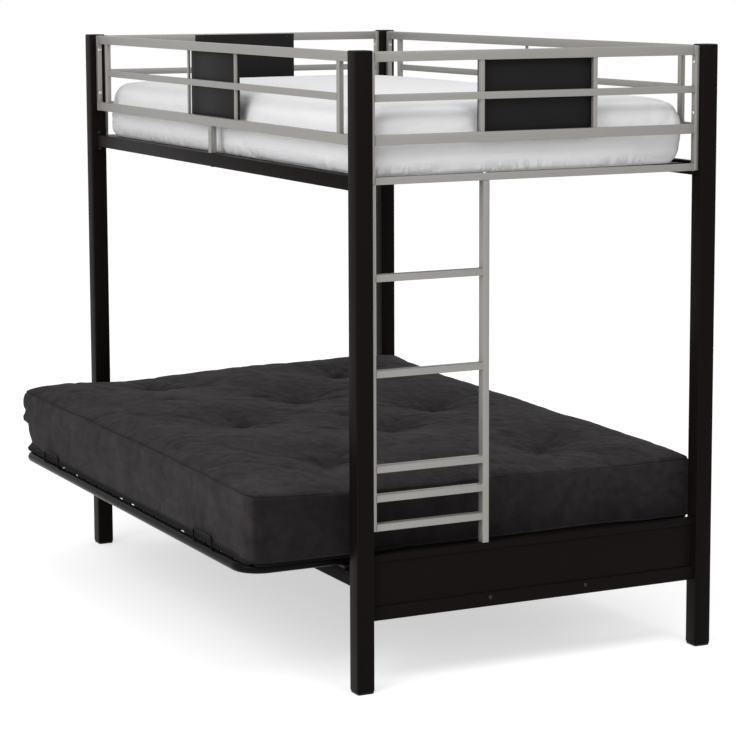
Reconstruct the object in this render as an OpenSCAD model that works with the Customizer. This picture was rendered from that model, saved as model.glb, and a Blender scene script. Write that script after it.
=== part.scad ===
// Futon bunk bed: a steel frame with a guarded upper bunk and a folding futon below.
// Lengths in millimetres. X runs along the bed towards the ladder end, Y towards the back, Z up.
// The modules are drawn about the middle of the four posts and moved to the part's origin.

/* [Overall frame] */
// Height to the top of the posts
bed_h = 1677; // [1600:1:1900]

/* [Posts] */
// Side of a square post
post_size = 50; // [44:1:56]
// Radius of a post's corners
post_radius = 5; // [3:0.5:8]
// Wall of a post tube
post_wall = 1.6; // [1.2:0.1:2.5]
// Height of a foot glide below the post
glide_h = 7; // [5:1:12]
// Height of the cap above the post
cap_h = 3; // [2:0.5:6]

/* [Upper rails] */
// Height of the heavy rails
rail_h = 26; // [20:1:32]
// Height of the light rails
slim_rail_h = 19; // [14:1:24]
// Depth of the upper rails
rail_t = 19; // [15:1:22]
// Wall of the rail tubes
rail_wall = 1.2; // [1:0.1:2]
// Drop from the post top to the top rail
top_drop = 4; // [3:1:12]
// Drop from the post top to the middle rail
mid_drop = 113; // [90:1:125]
// Drop from the post top to the lower rail
low_drop = 217; // [190:1:235]
// Drop from the post top to the foot rail of an end frame
foot_drop = 325; // [300:1:360]
// Width of an upright that is fixed to a post
upright_w = 13; // [10:1:20]
// Gap between a post and the guard's inner upright
inner_upright_gap = 83; // [60:1:160]
// Side of the thin uprights beside the front panel
thin_upright = 8; // [6:1:12]
// Side of the centre post under a guard
centre_post = 19; // [14:1:22]

/* [Panels] */
// Width of a guard panel
panel_w = 356; // [280:1:420]
// Thickness of a guard panel
panel_t = 2; // [1.5:0.5:3]

/* [Upper deck] */
// Drop from the post top to the side rail
side_drop = 322; // [312:1:360]
// Height of a side rail
side_h = 38; // [34:1:45]
// Depth of a side rail
side_t = 25; // [20:1:30]
// Number of slats
slat_count = 13; // [8:1:16]
// Width of a slat
slat_w = 30; // [20:1:45]
// Height of a slat
slat_h = 14; // [10:1:16]

/* [Upper mattress] */
// Length of the upper mattress
top_mattress_l = 1894; // [1840:1:1990]
// Width of the upper mattress
top_mattress_w = 984; // [950:1:1070]
// Height of the upper mattress at its edge
top_mattress_h = 168; // [120:1:200]
// Gap between the mattress and an end frame
mattress_end_gap = 15.5; // [8:0.5:25]
// Gap between the mattress and a guard
mattress_side_gap = 22.5; // [15:0.5:35]

/* [Ladder] */
// Width of the ladder from the post
ladder_w = 346; // [300:1:440]
// Width of a stile
stile_w = 19; // [15:1:25]
// Depth of the ladder's tubes
ladder_t = 25; // [20:1:26]
// Height of a rung
rung_h = 19; // [16:1:25]
// Rise from one step to the next
rung_rise = 250; // [235:1:260]
// Rise between the three low rungs
low_rise = 77; // [60:1:90]
// Rise from the lower end frame to the middle of the lowest rung
first_rise = 72.5; // [60:0.5:90]

/* [Lower frame] */
// Height of the lower end frame's top edge
end_top_z = 366; // [360:1:380]
// Height of the lower end frame's bottom edge
end_bottom_z = 191; // [170:1:200]
// Height of the bottom tube of an end frame
end_tube_h = 38; // [32:1:45]
// Height of the top tube of an end frame
end_cap_h = 19; // [15:1:25]
// Depth of the lower tubes
end_t = 25; // [20:1:28]
// Distance from the floor to the underside of a stretcher
stretcher_z = 277; // [262:1:280]
// Height of a stretcher
stretcher_h = 38; // [30:1:40]

/* [Futon frame] */
// Room at each end of the futon frame, up to the lower end frame
deck_end_gap = 66.5; // [60:0.5:75]
// Depth of the seat or the back, from the hinge to its edge
deck_d = 684; // [650:1:690]
// Distance that the back reaches past the middle of the back stretcher
back_over = 16; // [10:1:24]
// Outside diameter of the futon tube
futon_tube = 28; // [25:1:32]
// Radius of the frame's corners along the tube's axis
corner_r = 66; // [50:1:90]
// Height of the futon tube's axis
deck_z = 340; // [336:0.5:346]
// Thickness of a deck wire
wire_d = 5; // [4:0.5:6]
// Spacing of the deck wires
wire_pitch = 94; // [80:1:120]

/* [Futon motion] */
// Travel of the seat from bed to sofa
slide_travel = 280; // [260:1:285]
// Angle that the back turns through
fold_angle = 75; // [65:1:78]
// Distance from the hinge to the guide roller
crank_r = 118; // [105:1:122]
// Thickness of the guide plate
guide_t = 4; // [3:0.5:6]
// Diameter of the rollers
roller_d = 16; // [14:0.5:18]
// Diameter of the hinge pins
pin_d = 10; // [8:0.5:11]

/* [Futon mattress] */
// Distance that the futon mattress reaches past the frame at each end
futon_over = 27; // [10:1:35]
// Depth of the futon mattress
futon_w = 1358; // [1300:1:1362]
// Height of the futon mattress at its seams
futon_h = 176; // [140:1:200]
// Rise of the crown above the seams
futon_crown = 34; // [15:1:45]

/* [Hidden] */

black = [0.09, 0.085, 0.08];
silver = [0.66, 0.65, 0.62];
white = [0.93, 0.93, 0.94];
charcoal = [0.24, 0.23, 0.24];
plastic = [0.05, 0.05, 0.05];
steel = [0.62, 0.62, 0.6];

// Cuts run past the faces they open by this much.
over = 1;
// Gap between pieces that lie together.
seat_gap = 0.3;
// Radial gap of a pin that turns in its hole.
run_gap = 0.05;
// Gap on each side of a bolt in its hole.
bolt_gap = 0.25;
round_fn = 32;

// The posts stand round the upper mattress.
bed_l = top_mattress_l + 2*mattress_end_gap + rail_t + post_size;
bed_w = top_mattress_w + 2*mattress_side_gap + rail_t + post_size;

// Planes that the frame's pieces follow.
post_x = bed_l/2 - post_size/2;
post_y = bed_w/2 - post_size/2;
inner_x = bed_l/2 - post_size;
inner_y = bed_w/2 - post_size;
tube_top_z = bed_h - cap_h;

// The futon lies between the lower end frames, with its back's edge over the back stretcher.
deck_l = 2*(post_x - end_t/2 - deck_end_gap);
hinge_back = deck_d - post_y - back_over;
futon_l = deck_l + 2*futon_over;

// The part's origin lies under the middle of its whole outline.
seat_front_y = -hinge_back - deck_d;
origin_y = -(seat_front_y + bed_w/2)/2;

top_z = bed_h - top_drop;
mid_z = bed_h - mid_drop;
low_z = bed_h - low_drop;
foot_z = bed_h - foot_drop;

module at_origin() {
    translate([0, origin_y, 0]) children();
}

// A box from its centre in X and Y and its lower face in Z.
module block(size) {
    translate([-size[0]/2, -size[1]/2, 0]) cube(size);
}

// A hollow rectangular bar with closed ends.
module tube(size, wall) {
    difference() {
        block(size);
        translate([0, 0, wall])
            block([size[0] - 2*wall, size[1] - 2*wall, size[2] - 2*wall]);
    }
}

module rounded_square(side, r) {
    square([side - 2*r, side], center = true);
    square([side, side - 2*r], center = true);
    for (sx = [-1, 1], sy = [-1, 1])
        translate([sx*(side/2 - r), sy*(side/2 - r)]) circle(r = r, $fn = round_fn);
}

// A rod along X, drawn from its middle.
module rod_x(d, l) {
    rotate([0, 90, 0]) cylinder(d = d, h = l, center = true, $fn = round_fn);
}

// A rod along Y, drawn from its middle.
module rod_y(d, l) {
    rotate([90, 0, 0]) cylinder(d = d, h = l, center = true, $fn = round_fn);
}

// Fasteners
bolt_d = 6;
bolt_head_d = 11;
bolt_head_h = 3;
screw_d = 4;
screw_head_d = 8;
screw_head_h = 2;
// Depth that a bolt reaches into a post.
bolt_reach = 14;
// Heights of the bolts that hold a guard or an end frame, below the post top.
upper_bolt_drop = 49;
lower_bolt_drop = 187;

// A bolt along +X with its head before the origin and its shank beyond it.
module bolt(l) {
    translate([l/2, 0, 0]) rod_x(bolt_d, l);
    translate([-bolt_head_h/2, 0, 0]) rod_x(bolt_head_d, bolt_head_h);
}

// A screw that lies as a bolt does.
module screw(l) {
    translate([l/2, 0, 0]) rod_x(screw_d, l);
    translate([-screw_head_h/2, 0, 0]) rod_x(screw_head_d, screw_head_h);
}

guard_bolt_z = [bed_h - upper_bolt_drop, bed_h - lower_bolt_drop];
side_z = bed_h - side_drop - side_h;
side_plate_t = 3;
side_plate_w = post_size - 2*post_radius;
// A rail's end plate stands out above and below the rail by this much.
plate_lip = 14;
// The rim of a bolt's head stands clear of the rail by this much.
head_gap = 1;
bolt_rise = bolt_head_d/2 + head_gap;
side_bolt_z = [side_z - bolt_rise, side_z + side_h + bolt_rise];
stretcher_bolt_z = [stretcher_z - bolt_rise, stretcher_z + stretcher_h + bolt_rise];
lower_bolt_rise = 18;
end_bolt_z = [end_bottom_z + end_tube_h + lower_bolt_rise,
              end_top_z - end_cap_h - lower_bolt_rise];
// Distance of the lower frame's bolts from the post's middle, towards the bed.
end_bolt_in = 4;

// All the bolts that enter a post from its inner X face, as heights.
x_bolt_z = concat(guard_bolt_z, side_bolt_z, stretcher_bolt_z);
// Steps of the ladder: two stand over the end frame, and the others hang from the foot rail.
step_z = foot_z - slim_rail_h/2;
low_rung_z = [for (i = [1, 0]) end_top_z + first_rise + i*low_rise];
high_rungs = floor((step_z - low_rung_z[0] - 2*rung_h)/rung_rise);
rung_z = concat([for (i = [1:high_rungs]) step_z - i*rung_rise], low_rung_z);
// Places of the ladder's screws, as shares of the way from a rung to the next one down.
ladder_screw_shares = [0.46, 0.32, 0.338];
ladder_screw_z = [for (i = [0:len(ladder_screw_shares) - 1])
    rung_z[i] - ladder_screw_shares[i]*(rung_z[i] - rung_z[i + 1])];

// One post in its own place; the signs say which corner it stands in.
module post(sx, sy) {
    color(black) translate([sx*post_x, sy*post_y, glide_h]) difference() {
        linear_extrude(tube_top_z - glide_h) rounded_square(post_size, post_radius);
        translate([0, 0, -over]) linear_extrude(tube_top_z - glide_h + 2*over)
            rounded_square(post_size - 2*post_wall, post_radius - post_wall);
        for (z = x_bolt_z)
            translate([-sx*(post_size - post_wall)/2, 0, z - glide_h])
                rod_x(bolt_d + 2*bolt_gap, post_wall + 2*over);
        for (z = guard_bolt_z)
            translate([0, -sy*(post_size - post_wall)/2, z - glide_h])
                rod_y(bolt_d + 2*bolt_gap, post_wall + 2*over);
        for (z = end_bolt_z)
            translate([-sx*end_bolt_in, -sy*(post_size - post_wall)/2, z - glide_h])
                rod_y(bolt_d + 2*bolt_gap, post_wall + 2*over);
        if (sx > 0 && sy < 0)
            for (z = ladder_screw_z)
                translate([0, (post_size - post_wall)/2, z - glide_h])
                    rod_y(screw_d + 2*bolt_gap, post_wall + 2*over);
    }
}

module post_front_ladder() at_origin() post(1, -1);
module post_front_far() at_origin() post(-1, -1);
module post_back_ladder() at_origin() post(1, 1);
module post_back_far() at_origin() post(-1, 1);

// The plug of a cap or a glide reaches this far into the tube.
plug_depth = 18;
plug_wall = 2;

// A moulded end piece with a plug that fits inside the post; its face lies at z = 0.
module end_piece(h, inset) {
    bore = post_size - 2*post_wall - 2*seat_gap;
    linear_extrude(h) rounded_square(post_size - 2*inset, post_radius);
    translate([0, 0, -plug_depth]) difference() {
        linear_extrude(plug_depth) rounded_square(bore, post_radius - post_wall);
        translate([0, 0, -over]) linear_extrude(plug_depth)
            rounded_square(bore - 2*plug_wall, post_radius - post_wall);
    }
}

module post_caps() at_origin() color(plastic)
    for (sx = [-1, 1], sy = [-1, 1])
        translate([sx*post_x, sy*post_y, tube_top_z]) end_piece(cap_h, 0);

// A glide steps in a little from the post.
glide_inset = 1.5;
module post_glides() at_origin() color(plastic)
    for (sx = [-1, 1], sy = [-1, 1])
        translate([sx*post_x, sy*post_y, glide_h]) mirror([0, 0, 1])
            end_piece(glide_h, glide_inset);

// Upper end frames
// Centre of a panel upright from the bed's middle line.
panel_upright_y = panel_w/2 - upright_w/2;
end_frame_w = 2*inner_y - 2*upright_w;

module end_frame_rail(z, h) {
    translate([0, 0, z - h]) tube([rail_t, end_frame_w, h], rail_wall);
}

// The rails between two posts, drawn about the post line.
module end_frame(sx) {
    difference() {
        union() {
            end_frame_rail(top_z, rail_h);
            end_frame_rail(mid_z, slim_rail_h);
            end_frame_rail(low_z, rail_h);
            end_frame_rail(foot_z, slim_rail_h);
        }
        for (sy = [-1, 1], z = panel_screw_z)
            translate([-sx*rail_t/2, sy*panel_screw_y, z])
                rod_x(screw_d + 2*bolt_gap, 2*screw_reach);
        if (sx > 0) stile_hole(foot_z - slim_rail_h, slim_rail_h);
    }
}

// The uprights that the rails are welded to.
module end_uprights() {
    difference() {
        for (sy = [-1, 1])
            translate([0, sy*(inner_y - upright_w/2), foot_z - slim_rail_h])
                tube([rail_t, upright_w, top_z - foot_z + slim_rail_h], rail_wall);
        for (sy = [-1, 1], z = guard_bolt_z)
            translate([0, sy*(inner_y - upright_w/2), z])
                rod_y(bolt_d + 2*bolt_gap, upright_w + 2*over);
    }
    for (sy = [-1, 1]) {
        translate([0, sy*panel_upright_y, mid_z])
            tube([upright_w, upright_w, top_z - rail_h - mid_z], rail_wall);
        translate([0, sy*panel_upright_y, low_z])
            tube([upright_w, upright_w, mid_z - slim_rail_h - low_z], rail_wall);
    }
}

// A hole for the bolt that enters the ladder's stile through a rail of height h.
module stile_hole(z, h) {
    translate([0, stile_y, z - over])
        cylinder(d = bolt_d + 2*bolt_gap, h = h + 2*over, $fn = round_fn);
}

module ladder_end_frame() at_origin() color(silver)
    translate([post_x, 0, 0]) end_frame(1);
module far_end_frame() at_origin() color(silver)
    translate([-post_x, 0, 0]) end_frame(-1);
module ladder_end_uprights() at_origin() color(silver)
    translate([post_x, 0, 0]) end_uprights();
module far_end_uprights() at_origin() color(silver)
    translate([-post_x, 0, 0]) end_uprights();

// Panels lie on the inner side of the rails.
panel_margin = 3;
panel_top_z = top_z - panel_margin;
panel_bottom_z = low_z - rail_h + panel_margin;
panel_h = panel_top_z - panel_bottom_z;
panel_screw_in = 26;
panel_screw_y = panel_w/2 - panel_screw_in;
panel_screw_z = [top_z - rail_h/2, low_z - rail_h/2];
// Depth that a panel's screw reaches into a rail.
screw_reach = 8;

// A panel with its screw holes, standing in the Y-Z plane from x = 0 towards +X.
module panel() {
    difference() {
        translate([panel_t/2, 0, panel_bottom_z]) block([panel_t, panel_w, panel_h]);
        for (sy = [-1, 1], z = panel_screw_z)
            translate([panel_t/2, sy*panel_screw_y, z])
                rod_x(screw_d + 2*bolt_gap, panel_t + 2*over);
    }
}

module ladder_end_panel() at_origin() color(black)
    translate([post_x - rail_t/2 - panel_t, 0, 0]) panel();
module far_end_panel() at_origin() color(black)
    translate([-post_x + rail_t/2, 0, 0]) panel();

// Guards along the long sides
inner_upright_x = inner_x - inner_upright_gap - rail_t/2;
guard_l = 2*inner_x - 2*rail_t;

// A guard drawn about the post line, with its inner side towards +Y.
module guard(front) {
    difference() {
        union() {
            for (sx = [-1, 1])
                translate([sx*(inner_x - rail_t/2), 0, low_z - rail_h])
                    tube([rail_t, upright_w, top_z - low_z + rail_h], rail_wall);
            for (z = [top_z, low_z])
                translate([0, 0, z - rail_h]) tube([guard_l, rail_t, rail_h], rail_wall);
            for (sx = [-1, 1])
                translate([sx*inner_upright_x, 0, low_z])
                    tube([rail_t, upright_w, top_z - rail_h - low_z], rail_wall);
            translate([0, 0, mid_z - slim_rail_h])
                tube([2*inner_upright_x - rail_t, upright_w, slim_rail_h], rail_wall);
            for (x = front ? [-1, 1]*(panel_w - thin_upright)/2 : [0]) {
                translate([x, 0, mid_z])
                    block([thin_upright, thin_upright, top_z - rail_h - mid_z]);
                translate([x, 0, low_z])
                    block([thin_upright, thin_upright, mid_z - slim_rail_h - low_z]);
            }
            translate([0, 0, side_z + side_h])
                tube([centre_post, centre_post, low_z - rail_h - side_z - side_h], rail_wall);
        }
        for (sx = [-1, 1], z = guard_bolt_z)
            translate([sx*(inner_x - rail_t/2), 0, z])
                rod_x(bolt_d + 2*bolt_gap, rail_t + 2*over);
        translate([0, 0, side_z + side_h])
            cylinder(d = bolt_d + 2*bolt_gap, h = 2*bolt_reach, center = true, $fn = round_fn);
        if (front)
            for (sx = [-1, 1], z = panel_screw_z)
                translate([sx*panel_screw_y, rail_t/2, z])
                    rod_y(screw_d + 2*bolt_gap, 2*screw_reach);
    }
}

module front_guard() at_origin() color(silver) translate([0, -post_y, 0]) guard(true);
module back_guard() at_origin() color(silver)
    translate([0, post_y, 0]) mirror([0, 1, 0]) guard(false);

module front_guard_panel() at_origin() color(black)
    translate([0, -post_y + rail_t/2, 0]) rotate([0, 0, 90]) panel();

// Upper deck
ledge_w = 22;
ledge_t = 2;
// Drop from the side rail's top to the slats' top.
slat_drop = 6;
slat_z = side_z + side_h - slat_drop - slat_h;
side_rail_l = 2*inner_x - 2*side_plate_t;
slat_l = 2*(post_y - side_t/2) - 2*seat_gap;
slat_pitch = (2*inner_x - 4*slat_w)/(slat_count - 1);

// A side rail drawn about the post line, with its ledge towards +Y.
module side_rail() {
    difference() {
        union() {
            translate([0, 0, side_z]) tube([side_rail_l, side_t, side_h], rail_wall);
            for (sx = [-1, 1])
                translate([sx*(inner_x - side_plate_t/2), 0, side_z - plate_lip])
                    block([side_plate_t, side_plate_w, side_h + 2*plate_lip]);
            translate([0, side_t/2 + ledge_w/2, slat_z - seat_gap - ledge_t])
                block([side_rail_l, ledge_w, ledge_t]);
        }
        for (sx = [-1, 1], z = side_bolt_z)
            translate([sx*(inner_x - side_plate_t/2), 0, z])
                rod_x(bolt_d + 2*bolt_gap, side_plate_t + 2*over);
        translate([0, 0, side_z - over])
            cylinder(d = bolt_d + 2*bolt_gap, h = side_h + 2*over, $fn = round_fn);
    }
}

module front_side_rail() at_origin() color(black) translate([0, -post_y, 0]) side_rail();
module back_side_rail() at_origin() color(black)
    translate([0, post_y, 0]) mirror([0, 1, 0]) side_rail();

module deck_slats() at_origin() color(black)
    for (i = [0:slat_count - 1])
        translate([(i - (slat_count - 1)/2)*slat_pitch, 0, slat_z])
            tube([slat_w, slat_l, slat_h], rail_wall);

// Soft shapes
// A point of the plan outline: u and v run from -1 to 1 over the cushion.
function corner_xy(a, b, r) = [a*sqrt(1 - b*b/2)*r, b*sqrt(1 - a*a/2)*r];
function plan_xy(u, v, hx, hy, r, draw) =
    let (sx = hx - draw*(1 - v*v),
         sy = hy - draw*(1 - u*u),
         px = abs(u)*sx,
         py = abs(v)*sy,
         ax = (px - sx + r)/r,
         ay = (py - sy + r)/r,
         c = (ax > 0 && ay > 0) ? corner_xy(ax, ay, r) + [sx - r, sy - r] : [px, py])
    [sign(u)*c[0], sign(v)*c[1]];

// Steps that lie closer together towards the edges.
function edge_steps(n) = [for (i = [0:n]) sin(90*(2*i/n - 1))];

// Height above the seam: a crown that falls to the edges, with a dimple at each tuft.
function crown_z(u, v, x, y, crown, tufts, dip, spread) =
    crown*(1 - pow(abs(u), 6))*(1 - pow(abs(v), 6))
    - dip*max([0, for (t = tufts) exp(-(pow(x - t[0], 2) + pow(y - t[1], 2))/(spread*spread))]);

// Outline of the grid's rim as pairs of step numbers.
function rim(nx, ny) = concat([for (i = [0:nx - 1]) [i, 0]], [for (j = [0:ny - 1]) [nx, j]],
                              [for (i = [0:nx - 1]) [nx - i, ny]],
                              [for (j = [0:ny - 1]) [0, ny - j]]);

// Share of the half depth at which a part of a cushion has a point. t runs from -1 to 1 over
// the part, whose ends are the cushion's own or a plane [y at z = 0, slope of y over z].
function part_v(t, u, z, hy, draw, ends) =
    let (w = hy - draw*(1 - u*u),
         lo = is_undef(ends[0]) ? -1 : (ends[0][0] + ends[0][1]*z)/w,
         hi = is_undef(ends[1]) ? 1 : (ends[1][0] + ends[1][1]*z)/w)
    lo + (hi - lo)*(t + 1)/2;

// A closed cushion from z = 0, or the part of one between two planes. size is its plan at the
// widest ring, and sides holds the ring shares.
module cushion(size, r, draw, h, crown, sides, bulge, nx, ny, tufts, dip, spread,
               ends = [undef, undef]) {
    us = edge_steps(nx);
    vs = edge_steps(ny);
    hx = size[0]/2;
    hy = size[1]/2;
    edge = rim(nx, ny);
    m = len(edge);
    k = len(sides);
    top_in = bulge*sides[k - 1][1];
    function top_point(u, v) =
        let (p = plan_xy(u, v, hx - top_in, hy - top_in, r, draw))
        [p[0], p[1], h + crown_z(u, v, p[0], p[1], crown, tufts, dip, spread)];
    // A slanted end plane meets the crown where the height and the place agree.
    function settle(t, u, z, n) =
        let (q = top_point(u, part_v(t, u, z, hy - top_in, draw, ends)))
        n == 0 ? q : settle(t, u, q[2], n - 1);
    top = [for (j = [0:ny], i = [0:nx]) settle(vs[j], us[i], h + crown, settle_steps)];
    function ring_point(s, u, t) =
        let (in = bulge*sides[s][1],
             z = h*sides[s][0],
             p = plan_xy(u, part_v(t, u, z, hy - in, draw, ends), hx - in, hy - in, r, draw))
        [p[0], p[1], z];
    rings = [for (s = [0:k - 2], e = edge) ring_point(s, us[e[0]], vs[e[1]])];
    nt = len(top);
    middle = nt + len(rings);
    function at(s, e) = s == k - 1 ? edge[e][1]*(nx + 1) + edge[e][0] : nt + s*m + e;
    top_faces = [for (j = [0:ny - 1], i = [0:nx - 1], f = [0, 1])
        let (a = j*(nx + 1) + i, b = a + 1, c = a + nx + 1, d = c + 1)
        f == 0 ? [a, c, d] : [a, d, b]];
    side_faces = [for (s = [0:k - 2], e = [0:m - 1], f = [0, 1])
        let (n = (e + 1) % m)
        f == 0 ? [at(s, e), at(s + 1, e), at(s + 1, n)] : [at(s, e), at(s + 1, n), at(s, n)]];
    base = [for (e = [0:m - 1]) [middle, at(0, e), at(0, (e + 1) % m)]];
    polyhedron(points = concat(top, rings, [ring_point(0, 0, 0)]),
               faces = concat(top_faces, side_faces, base));
}

// Rounds in which the height and the place of a point on a slanted end are brought together.
settle_steps = 8;

// Rings of a cushion's side: share of the edge height, then share of the bulge drawn in.
top_side_shares = [[0, 1], [0.08, 0.35], [0.3, 0.05], [0.5, 0], [0.72, 0.1], [0.88, 0.42],
                   [1, 1]];
futon_side_shares = [[0, 0.8], [0.14, 0.35], [0.5, 0], [0.86, 0.3], [1, 0.7]];

top_mattress_r = 82;
top_mattress_draw = 3;
top_mattress_crown = 22;
top_mattress_bulge = 26;
top_steps = [22, 14];

module top_mattress() at_origin() color(white)
    translate([0, 0, slat_z + slat_h + seat_gap])
        cushion([top_mattress_l, top_mattress_w], top_mattress_r, top_mattress_draw,
                top_mattress_h, top_mattress_crown, top_side_shares, top_mattress_bulge,
                top_steps[0], top_steps[1], [], 0, 1);

// Ladder
stile_y = -inner_y + ladder_w - stile_w/2;
ladder_bottom_z = rung_z[len(rung_z) - 1] - rung_h/2;
rung_l = ladder_w - stile_w - upright_w;

module ladder_rungs() at_origin() color(silver)
    for (z = rung_z)
        translate([post_x, -inner_y + upright_w + rung_l/2, z - rung_h/2])
            tube([ladder_t, rung_l, rung_h], rail_wall);

module ladder_stiles() at_origin() color(silver) difference() {
    union() {
        translate([post_x, stile_y, end_top_z])
            tube([ladder_t, stile_w, foot_z - slim_rail_h - end_top_z], rail_wall);
        translate([post_x, -inner_y + upright_w/2, ladder_bottom_z])
            tube([ladder_t, upright_w, foot_z - slim_rail_h - ladder_bottom_z], rail_wall);
    }
    for (z = ladder_screw_z)
        translate([post_x, -inner_y + upright_w/2, z])
            rod_y(screw_d + 2*bolt_gap, upright_w + 2*over);
    for (z = [end_top_z, foot_z - slim_rail_h])
        translate([post_x, stile_y, z])
            cylinder(d = bolt_d + 2*bolt_gap, h = 2*bolt_reach, center = true, $fn = round_fn);
}

// Lower end frames
end_plate_t = 3;
kick_t = 1.5;
// The kick panel lies this far behind the face of the tubes.
kick_recess = 4;
kick_w = 2*inner_y - 2*end_plate_t;
kick_z = end_bottom_z + end_tube_h;
kick_h = end_top_z - end_cap_h - kick_z;
// Bolts that hold a guide plate, from the bed's middle line and the frame's lower edge.
guide_bolt_y = 148;
guide_bolt_rise = 25;
guide_bolt_z = end_bottom_z + guide_bolt_rise;

// A lower end frame drawn about the post line, with its outer side towards +X.
module lower_end_frame(under_ladder) {
    difference() {
        union() {
            translate([0, 0, end_bottom_z]) tube([end_t, kick_w, end_tube_h], rail_wall);
            translate([0, 0, end_top_z - end_cap_h]) tube([end_t, kick_w, end_cap_h], rail_wall);
            for (sy = [-1, 1])
                translate([0, sy*(inner_y - end_plate_t/2), end_bottom_z])
                    block([end_t, end_plate_t, end_top_z - end_bottom_z]);
        }
        for (sy = [-1, 1], z = end_bolt_z)
            translate([-end_bolt_in, sy*(inner_y - end_plate_t/2), z])
                rod_y(bolt_d + 2*bolt_gap, end_plate_t + 2*over);
        for (sy = [-1, 1])
            translate([0, sy*guide_bolt_y, guide_bolt_z])
                rod_x(bolt_d + 2*bolt_gap, end_t + 2*over);
        if (under_ladder) stile_hole(end_top_z - end_cap_h, end_cap_h);
    }
}

module lower_end_frame_ladder() at_origin() color(black)
    translate([post_x, 0, 0]) lower_end_frame(true);
module lower_end_frame_far() at_origin() color(black)
    translate([-post_x, 0, 0]) mirror([1, 0, 0]) lower_end_frame(false);

module kick_panel(sx) {
    translate([sx*(post_x + end_t/2 - kick_recess - kick_t/2), 0, kick_z])
        block([kick_t, kick_w, kick_h]);
}

module kick_panel_ladder() at_origin() color(black) kick_panel(1);
module kick_panel_far() at_origin() color(black) kick_panel(-1);

// Stretchers
module stretcher() {
    difference() {
        union() {
            translate([0, 0, stretcher_z])
                tube([side_rail_l, side_t, stretcher_h], rail_wall);
            for (sx = [-1, 1])
                translate([sx*(inner_x - side_plate_t/2), 0, stretcher_z - plate_lip])
                    block([side_plate_t, side_plate_w, stretcher_h + 2*plate_lip]);
        }
        for (sx = [-1, 1], z = stretcher_bolt_z)
            translate([sx*(inner_x - side_plate_t/2), 0, z])
                rod_x(bolt_d + 2*bolt_gap, side_plate_t + 2*over);
    }
}

module front_stretcher() at_origin() color(black) translate([0, -post_y, 0]) stretcher();
module back_stretcher() at_origin() color(black) translate([0, post_y, 0]) stretcher();

deck_side_x = deck_l/2 - futon_tube/2;
glide_pad_w = 60;
// The front pads reach in under the frame's corners, which lie on them in the sofa place.
front_pad_in = 17;
// The rear pads stand in from the frame's corners.
rear_pad_in = 180;
pad_z = stretcher_z + stretcher_h;

module stretcher_glides() at_origin() color(plastic)
    for (sx = [-1, 1], pad = [[-post_y, front_pad_in], [post_y, rear_pad_in]])
        translate([sx*(deck_side_x - pad[1]), pad[0], pad_z])
            block([glide_pad_w, side_t, deck_z - futon_tube/2 - seat_gap - pad_z]);

// Guide plates
hinge_y = -hinge_back;
hinge_plate_t = 4;
crank_x = deck_l/2 + hinge_plate_t + seat_gap;
// Room between the deck's side and the guide plate.
guide_room = 22;
guide_x = deck_l/2 + guide_room;
slot_gap = 0.3;
slot_w = roller_d + 2*slot_gap;
guide_margin = 8;
bolt_margin = 15;
// Steps along the curved slot and round a slot's end.
slot_steps = 12;
cap_steps = 10;
guide_top_z = deck_z + slot_w/2 + guide_margin;
guide_bottom_z = guide_bolt_z - bolt_margin;
guide_front_y = min(-guide_bolt_y - bolt_margin, hinge_y - slot_w/2 - guide_margin);
guide_back_y = max(guide_bolt_y + bolt_margin,
                   hinge_y + slide_travel + crank_r + slot_w/2 + guide_margin);

// Place of the crank's roller when the motion has gone through this share of its range.
function roller_yz(share) =
    [hinge_y + slide_travel*share + crank_r*cos(fold_angle*(share - 1)),
     deck_z + crank_r*sin(fold_angle*(share - 1))];

// Heading of the roller's path there, in degrees from +Y.
fold_radians = fold_angle*PI/180;
function roller_heading(share) =
    atan2(crank_r*fold_radians*cos(fold_angle*(share - 1)),
          slide_travel - crank_r*fold_radians*sin(fold_angle*(share - 1)));

// Turns a drawing in the Y-Z plane up and gives it a thickness along +X.
module upright_plate(t) {
    rotate([90, 0, 90]) linear_extrude(t) children();
}

// A slot of width w along a path of points, each with its heading, with round ends.
module slot(path, w) {
    n = len(path) - 1;
    function side(p, turn) = p[0] + w/2*[cos(p[1] + turn), sin(p[1] + turn)];
    polygon(concat([for (p = path) side(p, -90)],
                   [for (i = [1:cap_steps - 1]) side(path[n], 180*i/cap_steps - 90)],
                   [for (i = [0:n]) side(path[n - i], 90)],
                   [for (i = [1:cap_steps - 1]) side(path[0], 180*i/cap_steps + 90)]));
}

module guide_plate() {
    upright_plate(guide_t) difference() {
        translate([guide_front_y, guide_bottom_z])
            square([guide_back_y - guide_front_y, guide_top_z - guide_bottom_z]);
        slot([[[hinge_y, deck_z], 0], [[hinge_y + slide_travel, deck_z], 0]], slot_w);
        slot([for (i = [0:slot_steps])
                 let (share = i/slot_steps) [roller_yz(share), roller_heading(share)]],
             slot_w);
        for (sy = [-1, 1])
            translate([sy*guide_bolt_y, guide_bolt_z])
                circle(d = bolt_d + 2*bolt_gap, $fn = round_fn);
    }
}

module guide_plate_ladder() at_origin() color(black)
    translate([guide_x, 0, 0]) guide_plate();
module guide_plate_far() at_origin() color(black)
    mirror([1, 0, 0]) translate([guide_x, 0, 0]) guide_plate();

spacer_d = 20;
spacer_l = post_x - end_t/2 - guide_x - guide_t;
module guide_spacers() at_origin() color(steel)
    for (sx = [-1, 1], sy = [-1, 1])
        translate([sx*(guide_x + guide_t + spacer_l/2), sy*guide_bolt_y, guide_bolt_z])
            difference() {
                rod_x(spacer_d, spacer_l);
                rod_x(bolt_d + 2*bolt_gap, spacer_l + 2*over);
            }

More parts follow.
